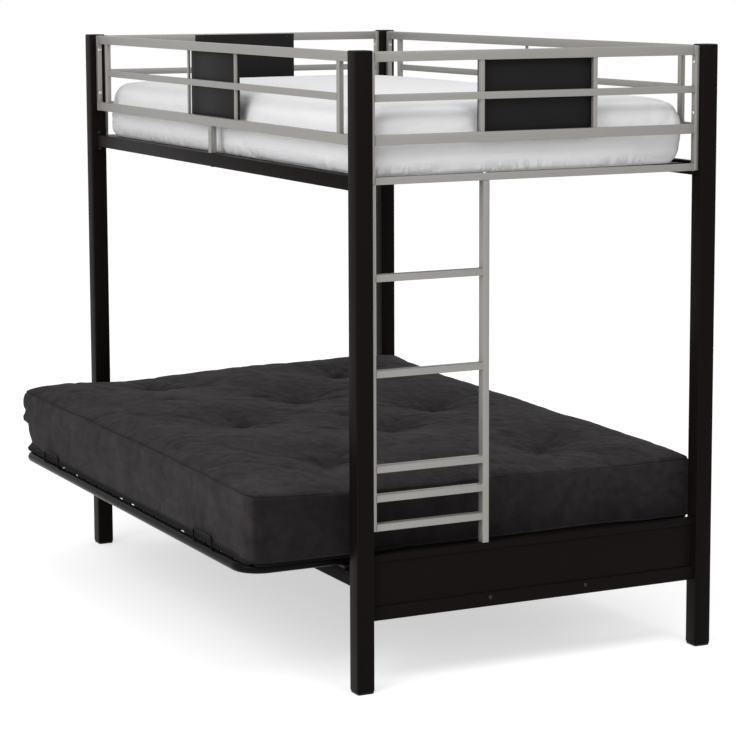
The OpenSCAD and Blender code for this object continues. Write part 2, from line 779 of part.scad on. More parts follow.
nut_h = 5;
nut_sides = 6;
guide_bolt_l = post_x + end_t/2 - guide_x + nut_h;
module guide_bolts() at_origin() color(plastic)
    for (sx = [-1, 1], sy = [-1, 1])
        translate([sx*(post_x + end_t/2), sy*guide_bolt_y, guide_bolt_z])
            mirror([sx > 0 ? 1 : 0, 0, 0]) {
                bolt(guide_bolt_l);
                translate([guide_bolt_l - nut_h, 0, 0]) rotate([0, 90, 0])
                    cylinder(d = bolt_head_d, h = nut_h, $fn = nut_sides);
            }

// Bolts of the fixed frame
// A bolt that enters a post along X, through a piece of thickness t on its inner face.
module post_bolt_x(sx, sy, z, t) {
    translate([sx*(inner_x - t), sy*post_y, z]) mirror([sx > 0 ? 0 : 1, 0, 0])
        bolt(t + bolt_reach);
}

// A bolt that enters a post along Y, through a piece of thickness t on its inner face.
module post_bolt_y(sx, sy, x, z, t) {
    translate([sx*x, sy*(inner_y - t), z]) rotate([0, 0, sy*90])
        bolt(t + bolt_reach);
}

module guard_bolts() at_origin() color(plastic)
    for (sx = [-1, 1], sy = [-1, 1], z = guard_bolt_z) post_bolt_x(sx, sy, z, rail_t);
module side_rail_bolts() at_origin() color(plastic)
    for (sx = [-1, 1], sy = [-1, 1], z = side_bolt_z) post_bolt_x(sx, sy, z, side_plate_t);
module stretcher_bolts() at_origin() color(plastic)
    for (sx = [-1, 1], sy = [-1, 1], z = stretcher_bolt_z)
        post_bolt_x(sx, sy, z, side_plate_t);
module end_frame_bolts() at_origin() color(plastic)
    for (sx = [-1, 1], sy = [-1, 1], z = guard_bolt_z)
        post_bolt_y(sx, sy, post_x, z, upright_w);
module lower_frame_bolts() at_origin() color(plastic)
    for (sx = [-1, 1], sy = [-1, 1], z = end_bolt_z)
        post_bolt_y(sx, sy, post_x - end_bolt_in, z, end_plate_t);

module ladder_screws() at_origin() color(steel)
    for (z = ladder_screw_z)
        translate([post_x, -inner_y + upright_w, z]) rotate([0, 0, -90])
            screw(upright_w + screw_reach);

// Bolts that hold the ladder's stile, with their heads on the foot rail and under the frame.
module ladder_bolts() at_origin() color(plastic) {
    translate([post_x, stile_y, foot_z]) rotate([0, 90, 0]) bolt(slim_rail_h + bolt_reach);
    translate([post_x, stile_y, end_top_z - end_cap_h]) rotate([0, -90, 0])
        bolt(end_cap_h + bolt_reach);
}

module panel_screws() at_origin() color(plastic) {
    for (sx = [-1, 1], sy = [-1, 1], z = panel_screw_z)
        translate([sx*(post_x - rail_t/2 - panel_t), sy*panel_screw_y, z])
            mirror([sx > 0 ? 0 : 1, 0, 0]) screw(panel_t + screw_reach);
    for (sx = [-1, 1], z = panel_screw_z)
        translate([sx*panel_screw_y, -post_y + rail_t/2 + panel_t, z]) rotate([0, 0, -90])
            screw(panel_t + screw_reach);
}

// Bolts that hold the centre posts on the side rails, with the head under the rail.
module centre_post_bolts() at_origin() color(plastic)
    for (sy = [-1, 1])
        translate([0, sy*post_y, side_z]) rotate([0, -90, 0])
            bolt(side_h + bolt_reach);

// Futon frame
futon_wall = 1.5;
cross_tube = 22;
// Distance from the hinge to the axis of the cross tube beside it.
cross_in = 40;
// The cross tube's top is level with the top of the outer tube.
cross_rise = (futon_tube - cross_tube)/2;
// Distance from the hinge to the end of a side tube.
side_end_in = 26;
weld_block_h = 16;
weld_block_l = 40;
hinge_eye_r = 14;
// Place of the joint between the two halves, from the bed's middle.
joint_x = -113;
spigot_l = 60;

// A bare side of the deck that reaches from the hinge line at y = 0 to its edge at -deck_d.
// The bend goes round the corner between the edge tube and the side tube.
module deck_tubes(d, cross_d, x_end) {
    edge_y = -deck_d + futon_tube/2;
    translate([(deck_side_x - corner_r + x_end)/2, edge_y, 0])
        rod_x(d, deck_side_x - corner_r - x_end);
    translate([deck_side_x, (edge_y + corner_r - side_end_in)/2, 0])
        rod_y(d, -side_end_in - edge_y - corner_r);
    translate([deck_side_x - corner_r, edge_y + corner_r, 0]) rotate([0, 0, -90])
        rotate_extrude(angle = 90, $fn = 2*round_fn) translate([corner_r, 0])
            circle(d = d, $fn = round_fn);
    translate([(deck_side_x + x_end)/2, -cross_in, cross_rise])
        rod_x(cross_d, deck_side_x - x_end);
}

// Outline of the plate that carries a hinge pin, with the pin's axis at the origin.
module hinge_eye_outline() {
    difference() {
        union() {
            circle(r = hinge_eye_r, $fn = round_fn);
            translate([-side_end_in - weld_block_l, -weld_block_h/2])
                square([side_end_in + weld_block_l, weld_block_h]);
        }
        circle(d = pin_d + 2*run_gap, $fn = round_fn);
    }
}

// One half of a deck frame, with its side tube towards +X and its edge towards -Y.
// The side block stands out of the tube by block_out, and the seat's carries the hinge eye.
module deck_half(x_end, block_out, eye, spigot) {
    bore = futon_tube - 2*futon_wall;
    cross_bore = cross_tube - 2*futon_wall;
    block_in = futon_tube/4;
    difference() {
        union() {
            deck_tubes(futon_tube, cross_tube, x_end);
            translate([deck_l/2 - block_in, -side_end_in - weld_block_l, -weld_block_h/2])
                cube([block_in + block_out, weld_block_l, weld_block_h]);
        }
        deck_tubes(bore, cross_bore, x_end - over);
        translate([deck_side_x, -side_end_in, 0]) rod_y(bore, 2*over);
    }
    if (eye)
        translate([deck_l/2, 0, 0]) upright_plate(hinge_plate_t) hinge_eye_outline();
    if (spigot)
        for (end = [[-deck_d + futon_tube/2, 0, bore], [-cross_in, cross_rise, cross_bore]]) {
            translate([x_end + spigot_l/2, end[0], end[1]]) rod_x(end[2] + futon_wall, spigot_l);
            translate([x_end, end[0], end[1]]) rod_x(end[2] - 2*run_gap, 2*spigot_l);
        }
}

module seat_frame_ladder() at_origin() color(black)
    translate([0, hinge_y, deck_z]) deck_half(joint_x, 0, true, true);
module seat_frame_far() at_origin() color(black)
    translate([0, hinge_y, deck_z]) mirror([1, 0, 0]) deck_half(-joint_x, 0, true, false);
module back_frame_ladder() at_origin() color(black)
    translate([0, hinge_y, deck_z]) mirror([0, 1, 0])
        deck_half(joint_x, hinge_plate_t + seat_gap, false, true);
module back_frame_far() at_origin() color(black)
    translate([0, hinge_y, deck_z]) mirror([0, 1, 0]) mirror([1, 0, 0])
        deck_half(-joint_x, hinge_plate_t + seat_gap, false, false);

// Deck wires lie on the tubes; the cross wires are welded under them.
cross_wire_d = 4;
cross_wire_sink = 3.2;
cross_wire_count = 5;
wire_z = futon_tube/2 + seat_gap + wire_d/2;
wire_end_in = 4;
wire_side_in = 60;
wire_count = floor((deck_l - 2*wire_side_in)/wire_pitch) + 1;
wire_front = -deck_d + futon_tube/2 - wire_end_in;
wire_l = -cross_in - cross_tube/2 - wire_front + 2*wire_end_in;

// The wire mesh of a deck, drawn with its edge towards -Y.
module deck_wires() {
    for (i = [0:wire_count - 1])
        translate([(i - (wire_count - 1)/2)*wire_pitch, wire_front + wire_l/2, wire_z])
            rod_y(wire_d, wire_l);
    for (j = [1:cross_wire_count])
        translate([0, wire_front + j*wire_l/(cross_wire_count + 1), wire_z - cross_wire_sink])
            rod_x(cross_wire_d, (wire_count - 1)*wire_pitch + 2*wire_d);
}

module seat_wires() at_origin() color(black)
    translate([0, hinge_y, deck_z]) deck_wires();
module back_wires() at_origin() color(black)
    translate([0, hinge_y, deck_z]) mirror([0, 1, 0]) deck_wires();

// Wire loops that stand on the front tube and keep the mattress back.
stop_w = 131;
stop_h = 38;
stop_in = 4;
// Middle of a loop, as a distance from the joint of the front tube.
stop_from_joint = [-498, 726];
// The feet reach down the round of the tube to just above it.
stop_off = futon_tube/2 - stop_in - wire_d/2;
stop_foot = futon_tube/2 - sqrt(pow(futon_tube/2, 2) - pow(stop_off, 2)) - seat_gap;

module mattress_stops() at_origin() color(black)
    for (dx = stop_from_joint)
        translate([joint_x + dx, seat_front_y + stop_in, deck_z + futon_tube/2]) {
            for (sx = [-1, 1])
                translate([sx*(stop_w - wire_d)/2, 0, -stop_foot])
                    cylinder(d = wire_d, h = stop_h + stop_foot - wire_d/2, $fn = round_fn);
            translate([0, 0, stop_h - wire_d/2]) rod_x(wire_d, stop_w - wire_d);
            for (sx = [-1, 1])
                translate([sx*(stop_w - wire_d)/2, 0, stop_h - wire_d/2])
                    sphere(d = wire_d, $fn = round_fn);
        }

// Pins, rollers and cranks
roller_len = guide_x + guide_t + head_gap - (crank_x + hinge_plate_t + seat_gap);
pin_head_h = 2.5;
pin_head_d = 13;
crank_boss_d = 24;
crank_bar_w = 18;

// A roller on its pin, with the roller's end against the crank plate.
module roller() {
    translate([crank_x + hinge_plate_t + seat_gap, 0, 0])
        difference() {
            translate([roller_len/2, 0, 0]) rod_x(roller_d, roller_len);
            translate([roller_len/2, 0, 0]) rod_x(pin_d + 2*run_gap, roller_len + 2*over);
        }
}

// A pin that starts at start_x and ends with its head outside the guide plate.
module guide_pin(start_x) {
    end_x = guide_x + guide_t + head_gap + seat_gap;
    translate([(start_x + end_x)/2, 0, 0]) rod_x(pin_d, end_x - start_x);
    translate([end_x + pin_head_h/2, 0, 0]) rod_x(pin_head_d, pin_head_h);
}

module both_sides() {
    children();
    mirror([1, 0, 0]) children();
}

module hinge_pins() at_origin() color(steel)
    both_sides() translate([0, hinge_y, deck_z]) guide_pin(deck_l/2);
module seat_rollers() at_origin() color(plastic)
    both_sides() translate([0, hinge_y, deck_z]) roller();
module crank_pins() at_origin() color(steel)
    both_sides() translate([0, roller_yz(0)[0], roller_yz(0)[1]]) guide_pin(crank_x);
module crank_rollers() at_origin() color(plastic)
    both_sides() translate([0, roller_yz(0)[0], roller_yz(0)[1]]) roller();

// A bent plate: one arm lies along the back's side tube, the other carries the guide roller.
module crank_outline() {
    arm = roller_yz(0) - [hinge_y, deck_z];
    difference() {
        union() {
            circle(d = crank_boss_d, $fn = round_fn);
            translate([0, -weld_block_h/2]) square([side_end_in + weld_block_l, weld_block_h]);
            rotate(-fold_angle) translate([0, -crank_bar_w/2]) square([crank_r, crank_bar_w]);
            translate(arm) circle(d = crank_boss_d, $fn = round_fn);
        }
        circle(d = pin_d + 2*run_gap, $fn = round_fn);
        translate(arm) circle(d = pin_d + 2*run_gap, $fn = round_fn);
    }
}

module crank_plates() at_origin() color(black)
    both_sides() translate([crank_x, hinge_y, deck_z]) upright_plate(hinge_plate_t)
        crank_outline();

// Futon mattress
futon_front_gap = 8;
futon_mid_y = seat_front_y + futon_front_gap + futon_w/2;
futon_z = deck_z + wire_z + wire_d/2 + seat_gap;
futon_r = 72;
futon_draw = 7;
futon_bulge = 12;
// Steps along X and Y of the seat.
seat_steps = [30, 12];
tuft_dip = 26;
tuft_spread = 62;
// Places of the tufts as shares of the mattress's half length and half depth.
tuft_shares = [[-0.69, -0.47], [0, -0.47], [0.69, -0.47], [-0.345, 0], [0.345, 0],
               [-0.69, 0.47], [0, 0.47], [0.69, 0.47]];
tufts = [for (t = tuft_shares) [t[0]*futon_l/2, t[1]*futon_w/2]];

// The mattress is parted by two planes that meet in the hinge line and spread upwards.
// Each is given as its place at the mattress's underside and its slope.
part_slope = tan(fold_angle/2);
part_rise = (futon_z - deck_z)*part_slope;
seat_plane = [hinge_y - futon_mid_y - part_rise, -part_slope];
back_plane = [hinge_y - futon_mid_y + part_rise, part_slope];
gap_y = [seat_gap, 0];

module futon_seat() at_origin() color(charcoal)
    translate([0, futon_mid_y, futon_z])
        cushion([futon_l, futon_w], futon_r, futon_draw, futon_h, futon_crown,
                futon_side_shares, futon_bulge, seat_steps[0], seat_steps[1],
                tufts, tuft_dip, tuft_spread, [undef, seat_plane - gap_y]);

// The fold and the back are plain lengths of one section.
futon_top = futon_h + futon_crown;
plain_l = futon_l - 2*futon_draw;
// Back edge of the section: share of the half depth, then share of the seam's height.
plain_edge_shares = [[0.978, 0], [1, 0.25], [1, 0.75], [0.978, 1]];
// Fall of its top to that edge: share of the half depth, then share of the crown.
plain_crown_shares = [[0.9, 0.7], [0.74, 1]];

// The point of a parting plane at a height above the mattress's underside.
function plane_point(plane, z) = [plane[0] + plane[1]*z, z];

module plain_part(section) {
    translate([-plain_l/2, futon_mid_y, futon_z]) upright_plate(plain_l) polygon(section);
}

module futon_fold() at_origin() color(charcoal)
    plain_part([plane_point(seat_plane, 0), plane_point(back_plane, 0),
                plane_point(back_plane, futon_top), plane_point(seat_plane, futon_top)]);
module futon_back() at_origin() color(charcoal)
    plain_part(concat([plane_point(back_plane + gap_y, 0)],
                      [for (p = plain_edge_shares) [p[0]*futon_w/2, p[1]*futon_h]],
                      [for (p = plain_crown_shares)
                          [p[0]*futon_w/2, futon_h + p[1]*futon_crown]],
                      [plane_point(back_plane + gap_y, futon_top)]));

post_front_ladder();
post_front_far();
post_back_ladder();
post_back_far();
post_caps();
post_glides();
ladder_end_frame();
far_end_frame();
ladder_end_uprights();
far_end_uprights();
ladder_end_panel();
far_end_panel();
front_guard();
back_guard();
front_guard_panel();
front_side_rail();
back_side_rail();
deck_slats();
top_mattress();
ladder_stiles();
ladder_rungs();
lower_end_frame_ladder();
lower_end_frame_far();
kick_panel_ladder();
kick_panel_far();
front_stretcher();
back_stretcher();
stretcher_glides();
guide_plate_ladder();
guide_plate_far();
guide_spacers();
guide_bolts();
guard_bolts();
end_frame_bolts();
side_rail_bolts();
stretcher_bolts();
lower_frame_bolts();
ladder_screws();
ladder_bolts();
panel_screws();
centre_post_bolts();
seat_frame_ladder();
seat_frame_far();
seat_wires();
mattress_stops();
hinge_pins();
seat_rollers();
back_frame_ladder();
back_frame_far();
back_wires();
crank_plates();
crank_pins();
crank_rollers();
futon_seat();
futon_fold();
futon_back();
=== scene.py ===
"""Looks, studio and camera of a futon bunk bed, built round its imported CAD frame.

Lengths are in metres in the CAD model's own frame: X runs along the bed towards the ladder
end, Y towards the back and Z up.
"""

from __future__ import annotations

import logging
import math
from dataclasses import dataclass
from enum import Enum
from typing import Any, Callable, Iterable, Sequence, Union

import bmesh
import bpy
import numpy as np
from mathutils import Matrix, Vector, noise


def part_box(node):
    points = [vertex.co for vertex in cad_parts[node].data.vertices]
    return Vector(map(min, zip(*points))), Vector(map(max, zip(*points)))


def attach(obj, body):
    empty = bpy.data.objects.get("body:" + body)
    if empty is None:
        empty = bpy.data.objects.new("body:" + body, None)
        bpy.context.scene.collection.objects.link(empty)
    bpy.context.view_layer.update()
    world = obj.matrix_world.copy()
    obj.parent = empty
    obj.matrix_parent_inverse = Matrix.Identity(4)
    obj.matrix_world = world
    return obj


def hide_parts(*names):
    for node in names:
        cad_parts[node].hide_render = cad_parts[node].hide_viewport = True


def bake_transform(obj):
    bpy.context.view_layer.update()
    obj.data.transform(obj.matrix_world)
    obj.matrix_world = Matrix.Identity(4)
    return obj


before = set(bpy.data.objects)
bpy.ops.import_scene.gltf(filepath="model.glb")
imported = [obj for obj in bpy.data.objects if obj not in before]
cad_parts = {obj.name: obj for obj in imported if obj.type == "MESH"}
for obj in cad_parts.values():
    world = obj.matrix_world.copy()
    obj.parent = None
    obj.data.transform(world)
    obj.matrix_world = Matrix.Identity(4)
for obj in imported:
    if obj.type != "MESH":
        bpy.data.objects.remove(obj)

LOG = logging.getLogger("bunk")
SIDES = (-1, 1)
CORNERS = tuple((sx, sy) for sx in SIDES for sy in SIDES)
ENDS = ((1, "ladder"), (-1, "far"))
STOP_WIDTH = 0.131
Pair = tuple[float, float]
Triple = tuple[float, float, float]
Colour = Triple


class Body(Enum):
    """The CAD bodies that pieces ride on."""

    BUNK = "bunk_frame"
    SEAT = "seat_deck"
    BACK = "back_deck"


class Slot(Enum):
    """The record's material slots."""

    BLACK = "black_paint"
    PANEL = "panel_paint"
    SILVER = "silver_paint"
    PLASTIC = "black_plastic"
    FASTENER = "black_fastener"
    ZINC = "zinc_steel"
    COTTON = "white_cotton"
    SUEDE = "charcoal_suede"


class Drive(Enum):
    """Recess in the head of a fastener."""

    HEX = "hex"
    CROSS = "cross"


# Shader expressions


class Signal:
    """A node's output socket that takes part in Python expressions."""

    def __init__(self, graph: Graph, socket: bpy.types.NodeSocket) -> None:
        """Keep the socket and the graph that it belongs to."""
        self.graph = graph
        self.socket = socket

    def _math(self, operation: str, first: Term, second: Term) -> Signal:
        """Join two terms with a Math node.

        Args:
            operation: The Math node's operation.
            first: Its first value.
            second: Its second value.

        Returns:
            The node's result.
        """
        node = self.graph.add("ShaderNodeMath", {"operation": operation}, {0: first, 1: second})
        return self.graph.out(node)

    def __add__(self, other: Term) -> Signal:
        """Return self + other."""
        return self._math("ADD", self, other)

    def __radd__(self, other: Term) -> Signal:
        """Return other + self."""
        return self._math("ADD", other, self)

    def __sub__(self, other: Term) -> Signal:
        """Return self - other."""
        return self._math("SUBTRACT", self, other)

    def __mul__(self, other: Term) -> Signal:
        """Return self * other."""
        return self._math("MULTIPLY", self, other)

    def __rmul__(self, other: Term) -> Signal:
        """Return other * self."""
        return self._math("MULTIPLY", other, self)

    def __truediv__(self, other: Term) -> Signal:
        """Return self / other."""
        return self._math("DIVIDE", self, other)


Term = Union[Signal, float]


class Graph:
    """Adds the nodes of one material or world."""

    def __init__(self, tree: bpy.types.NodeTree) -> None:
        """Start with an empty tree."""
        self.tree = tree
        tree.nodes.clear()

    def add(
        self,
        kind: str,
        settings: dict[str, Any] | None = None,
        sockets: dict[str | int, Any] | None = None,
    ) -> bpy.types.Node:
        """Add a node.

        Args:
            kind: The node's type.
            settings: Its own settings, set first; "stops" are a ramp's (place, colour) pairs.
            sockets: A value or a Signal for each input, by name or number.

        Returns:
            The node.
        """
        node = self.tree.nodes.new(kind)
        for name, value in (settings or {}).items():
            if name == "stops":
                self._set_stops(node.color_ramp, value)
            else:
                setattr(node, name, value)
        for key, value in (sockets or {}).items():
            if isinstance(value, Signal):
                self.tree.links.new(value.socket, node.inputs[key])
            else:
                node.inputs[key].default_value = value
        return node

    @staticmethod
    def _set_stops(ramp: bpy.types.ColorRamp, stops: Sequence[Pair]) -> None:
        """Give a ramp its grey stops.

        Args:
            ramp: The node's colour ramp.
            stops: Each stop's place and its grey value.
        """
        while len(ramp.elements) < len(stops):
            ramp.elements.new(1.0)
        for element, (place, grey) in zip(ramp.elements, stops):
            element.position = place
            element.color = (grey, grey, grey, 1.0)

    def out(self, node: bpy.types.Node, key: str | int = 0) -> Signal:
        """Return one output of a node."""
        return Signal(self, node.outputs[key])

    def rest_place(self) -> Signal:
        """Return the place on an object in its own coordinates."""
        return self.out(self.add("ShaderNodeTexCoord"), "Object")

    def attribute(self, name: str, output: str = "Fac") -> Signal:
        """Return an attribute of the mesh."""
        return self.out(self.add("ShaderNodeAttribute", {"attribute_name": name}), output)

    def sewn_place(self) -> Signal:
        """Return the place that a cloth point has before the cloth moves."""
        return self.attribute("rest_place", "Vector")

    def plain_view(self) -> Signal:
        """Return 1 for rays from the camera, off gloss or through glass, and 0 for others."""
        rays = self.add("ShaderNodeLightPath")
        kinds = ("Is Camera Ray", "Is Glossy Ray", "Is Transmission Ray")
        camera, glossy, transmitted = (self.out(rays, kind) for kind in kinds)
        return camera + glossy + transmitted

    def principled(self, sockets: dict[str | int, Any]) -> bpy.types.Node:
        """Add a Principled shader with the given sockets."""
        return self.add("ShaderNodeBsdfPrincipled", None, sockets)

    def stretched(self, place: Signal, share: Colour) -> Signal:
        """Return a place scaled on each axis."""
        settings = {"operation": "MULTIPLY"}
        return self.out(self.add("ShaderNodeVectorMath", settings, {0: place, 1: share}))

    def grain(self, place: Signal, scale: float, detail: float = 2.0, warp: float = 0.0) -> Signal:
        """Add a noise texture.

        Args:
            place: Where the texture is read.
            scale: Features per metre.
            detail: Octaves.
            warp: Distortion.

        Returns:
            The noise, from 0 to 1.
        """
        sockets = {"Vector": place, "Scale": scale, "Detail": detail, "Distortion": warp}
        return self.out(self.add("ShaderNodeTexNoise", None, sockets))

    def ramp(self, value: Signal, *stops: Pair) -> Signal:
        """Return value passed through a grey ramp."""
        return self.out(self.add("ShaderNodeValToRGB", {"stops": stops}, {0: value}))

    def blend(self, share: Term, first: Colour | Signal, second: Colour | Signal) -> Signal:
        """Mix two colours.

        Args:
            share: 0 for the first colour, 1 for the second.
            first: A colour, or one that the graph has made.
            second: The same.

        Returns:
            The mixed colour.
        """
        pair = [c if isinstance(c, Signal) else (*c, 1.0) for c in (first, second)]
        node = self.add("ShaderNodeMix", {"data_type": "RGBA"}, {0: share, 6: pair[0], 7: pair[1]})
        return self.out(node, 2)

    def relief(self, height: Signal, depth: float, under: Signal | None = None) -> Signal:
        """Turn a height into a bumped normal.

        Args:
            height: The height, from 0 to 1.
            depth: What a height of 1 stands for, in metres.
            under: A normal that is bumped already.

        Returns:
            The normal.
        """
        sockets: dict[str | int, Any] = {"Height": height, "Distance": depth}
        if under is not None:
            sockets["Normal"] = under
        return self.out(self.add("ShaderNodeBump", None, sockets))


# Finishes


@dataclass(frozen=True)
class Finish:
    """What every finish has: a name, a slot of the record and a main colour."""

    name: str
    slot: Slot
    colour: Colour

    def material(self) -> bpy.types.Material:
        """Return the finish's material, made the first time."""
        found = bpy.data.materials.get(self.name)
        if found:
            return found
        made = bpy.data.materials.new(self.name)
        made.use_nodes = True
        graph = Graph(made.node_tree)
        shader = self.shade(graph)
        graph.add("ShaderNodeOutputMaterial", None, {"Surface": graph.out(shader)})
        return made

    def shade(self, graph: Graph) -> bpy.types.Node:
        """Return the surface shader; each finish has its own."""
        raise NotImplementedError

    def scaled(self, share: float) -> Colour:
        """Return the main colour made lighter or darker."""
        red, green, blue = self.colour
        return (red * share, green * share, blue * share)


@dataclass(frozen=True)
class PaintedSteel(Finish):
    """Powder coat: orange peel, faint clouding, and edges lightened by a painted highlight and a
    thinner coat.
    """

    roughness: float = 0.45
    gloss: float = 0.3
    metal: float = 0.0
    peel_scale: float = 650.0
    peel_depth: float = 0.00012
    clouding: float = 0.1
    cloud_scale: float = 5.0
    cloud_share: float = 0.6
    speck_scale: float = 2600.0
    smear_scale: float = 14.0
    smear: float = 0.1
    edge_highlight_share: float = 1.5
    edge_from: float = 0.52
    edge_to: float = 0.62

    def shade(self, graph: Graph) -> bpy.types.Node:
        """Return the paint's shader."""
        place = graph.rest_place()
        cloud = graph.grain(place, self.cloud_scale, 4.0)
        speck = graph.grain(place, self.speck_scale, 1.0)
        patches = cloud * self.cloud_share + speck * (1 - self.cloud_share)
        low, high = self.scaled(1 - self.clouding), self.scaled(1 + self.clouding)
        # Lighter rounded edges, found by pointiness: a painted highlight, with a thinner coat there
        # too
        sharpness = graph.out(graph.add("ShaderNodeNewGeometry"), "Pointiness")
        edge = graph.ramp(sharpness, (self.edge_from, 0.0), (self.edge_to, 1.0))
        thin = self.scaled(self.edge_highlight_share)
        smears = graph.grain(place, self.smear_scale, 3.0)
        peel = graph.grain(place, self.peel_scale)
        return graph.principled(
            {
                "Base Color": graph.blend(edge, graph.blend(patches, low, high), thin),
                "Metallic": self.metal,
                "Roughness": self.roughness - self.smear / 2 + self.smear * smears,
                "Specular IOR Level": self.gloss,
                "Normal": graph.relief(peel, self.peel_depth),
            }
        )


@dataclass(frozen=True)
class MouldedPlastic(Finish):
    """Matt black plastic with a spark-eroded grain."""

    roughness: float = 0.55
    roughness_spread: float = 0.12
    gloss: float = 0.15
    grain_scale: float = 1500.0
    grain_depth: float = 0.00015
    tone_scale: float = 30.0
    dark_share: float = 0.8
    light_share: float = 1.25

    def shade(self, graph: Graph) -> bpy.types.Node:
        """Return the plastic's shader."""
        place = graph.rest_place()
        pits = graph.grain(place, self.grain_scale)
        cloud = graph.grain(place, self.tone_scale, 3.0)
        dark, light = self.scaled(self.dark_share), self.scaled(self.light_share)
        return graph.principled(
            {
                "Base Color": graph.blend(cloud, dark, light),
                "Roughness": self.roughness + self.roughness_spread * pits,
                "Specular IOR Level": self.gloss,
                "Normal": graph.relief(pits, self.grain_depth),
            }
        )


@dataclass(frozen=True)
class PlatedSteel(Finish):
    """Plated steel with small spangles."""

    roughness: float = 0.3
    roughness_spread: float = 0.15
    stain_scale: float = 60.0
    spangle_scale: float = 420.0
    dark_share: float = 0.82
    light_share: float = 1.1
    grain_scale: float = 900.0
    grain_depth: float = 0.00006

    def shade(self, graph: Graph) -> bpy.types.Node:
        """Return the plating's shader."""
        place = graph.rest_place()
        sockets = {"Vector": place, "Scale": self.spangle_scale}
        cells = graph.out(graph.add("ShaderNodeTexVoronoi", {"feature": "F1"}, sockets), "Color")
        spangle = graph.ramp(cells, (0.0, 0.0), (1.0, 1.0))
        dark, light = self.scaled(self.dark_share), self.scaled(self.light_share)
        stain = graph.grain(place, self.stain_scale, 3.0)
        grain = graph.grain(place, self.grain_scale)
        return graph.principled(
            {
                "Base Color": graph.blend(spangle, dark, light),
                "Metallic": 1.0,
                "Roughness": self.roughness + self.roughness_spread * stain,
                "Normal": graph.relief(grain, self.grain_depth),
            }
        )


@dataclass(frozen=True)
class Suede(Finish):
    """Brushed microsuede: patches where the nap lies differently, creases and a short pile.

    With painted shade on, the cover is painted dark below its lower seam, where the band tucks
    under, and its end bands get painted shade from a mesh attribute.
    """

    dark_share: float = 0.35
    light_share: float = 1.75
    patch_scale: float = 9.0
    streak_scale: float = 36.0
    pile_scale: float = 1100.0
    patch_part: float = 0.45
    streak_part: float = 0.43
    pile_part: float = 0.12
    end_shade_share: float = 0.2
    under_shade_share: float = 0.12
    under_shade_from: float = 0.078
    under_shade_to: float = 0.06
    line_scale: float = 15.0
    line_part: float = 0.35
    line_depth: float = 0.0022
    band_part: float = 0.2
    band_end: float = 0.93
    pile_depth: float = 0.0003
    roughness: float = 0.82
    gloss: float = 0.08
    # Turns on the painted shade of the end bands and below the lower seam
    painted_shade: bool = False

    def shade(self, graph: Graph) -> bpy.types.Node:
        """Return the suede's shader."""
        place = graph.sewn_place()
        cloud = graph.grain(place, self.patch_scale, 4.0, 0.8)
        patch = graph.ramp(cloud, (0.32, 0.0), (0.68, 1.0))
        streak = graph.grain(graph.stretched(place, (0.6, 1.0, 1.0)), self.streak_scale, 4.0, 0.6)
        brushed = graph.ramp(streak, (0.3, 0.0), (0.7, 1.0))
        pile = graph.grain(place, self.pile_scale)
        nap = patch * self.patch_part + brushed * self.streak_part + pile * self.pile_part
        tone = graph.blend(nap, self.scaled(self.dark_share), self.scaled(self.light_share))
        share = graph.attribute("band_height")
        if self.painted_shade:
            # Painted shade: darker end bands, most towards the front and the bottom
            way = graph.attribute("painted_end_light")
            tone = graph.blend(way, self.scaled(self.end_shade_share), tone)
            # Painted shade: dark below the lower seam, where the band tucks under out of the light
            under_shade = graph.ramp(share, (self.under_shade_to, 1.0), (self.under_shade_from, 0.0))
            tone = graph.blend(under_shade, tone, self.scaled(self.under_shade_share))
        folds = graph.grain(place, self.line_scale, 3.0, 0.7)
        lines = graph.ramp(folds, (0.43, 1.0), (0.5, 0.0), (0.57, 1.0))
        loose = graph.ramp(share, (self.band_end, self.band_part), (1.0, 1.0))
        broad = graph.relief((lines * self.line_part + streak * 0.5) * loose, self.line_depth)
        return graph.principled(
            {
                "Base Color": tone,
                "Roughness": self.roughness + 0.12 * pile,
                "Specular IOR Level": self.gloss,
                "Sheen Weight": 0.03,
                "Sheen Roughness": 0.6,
                "Normal": graph.relief(pile, self.pile_depth, broad),
            }
        )


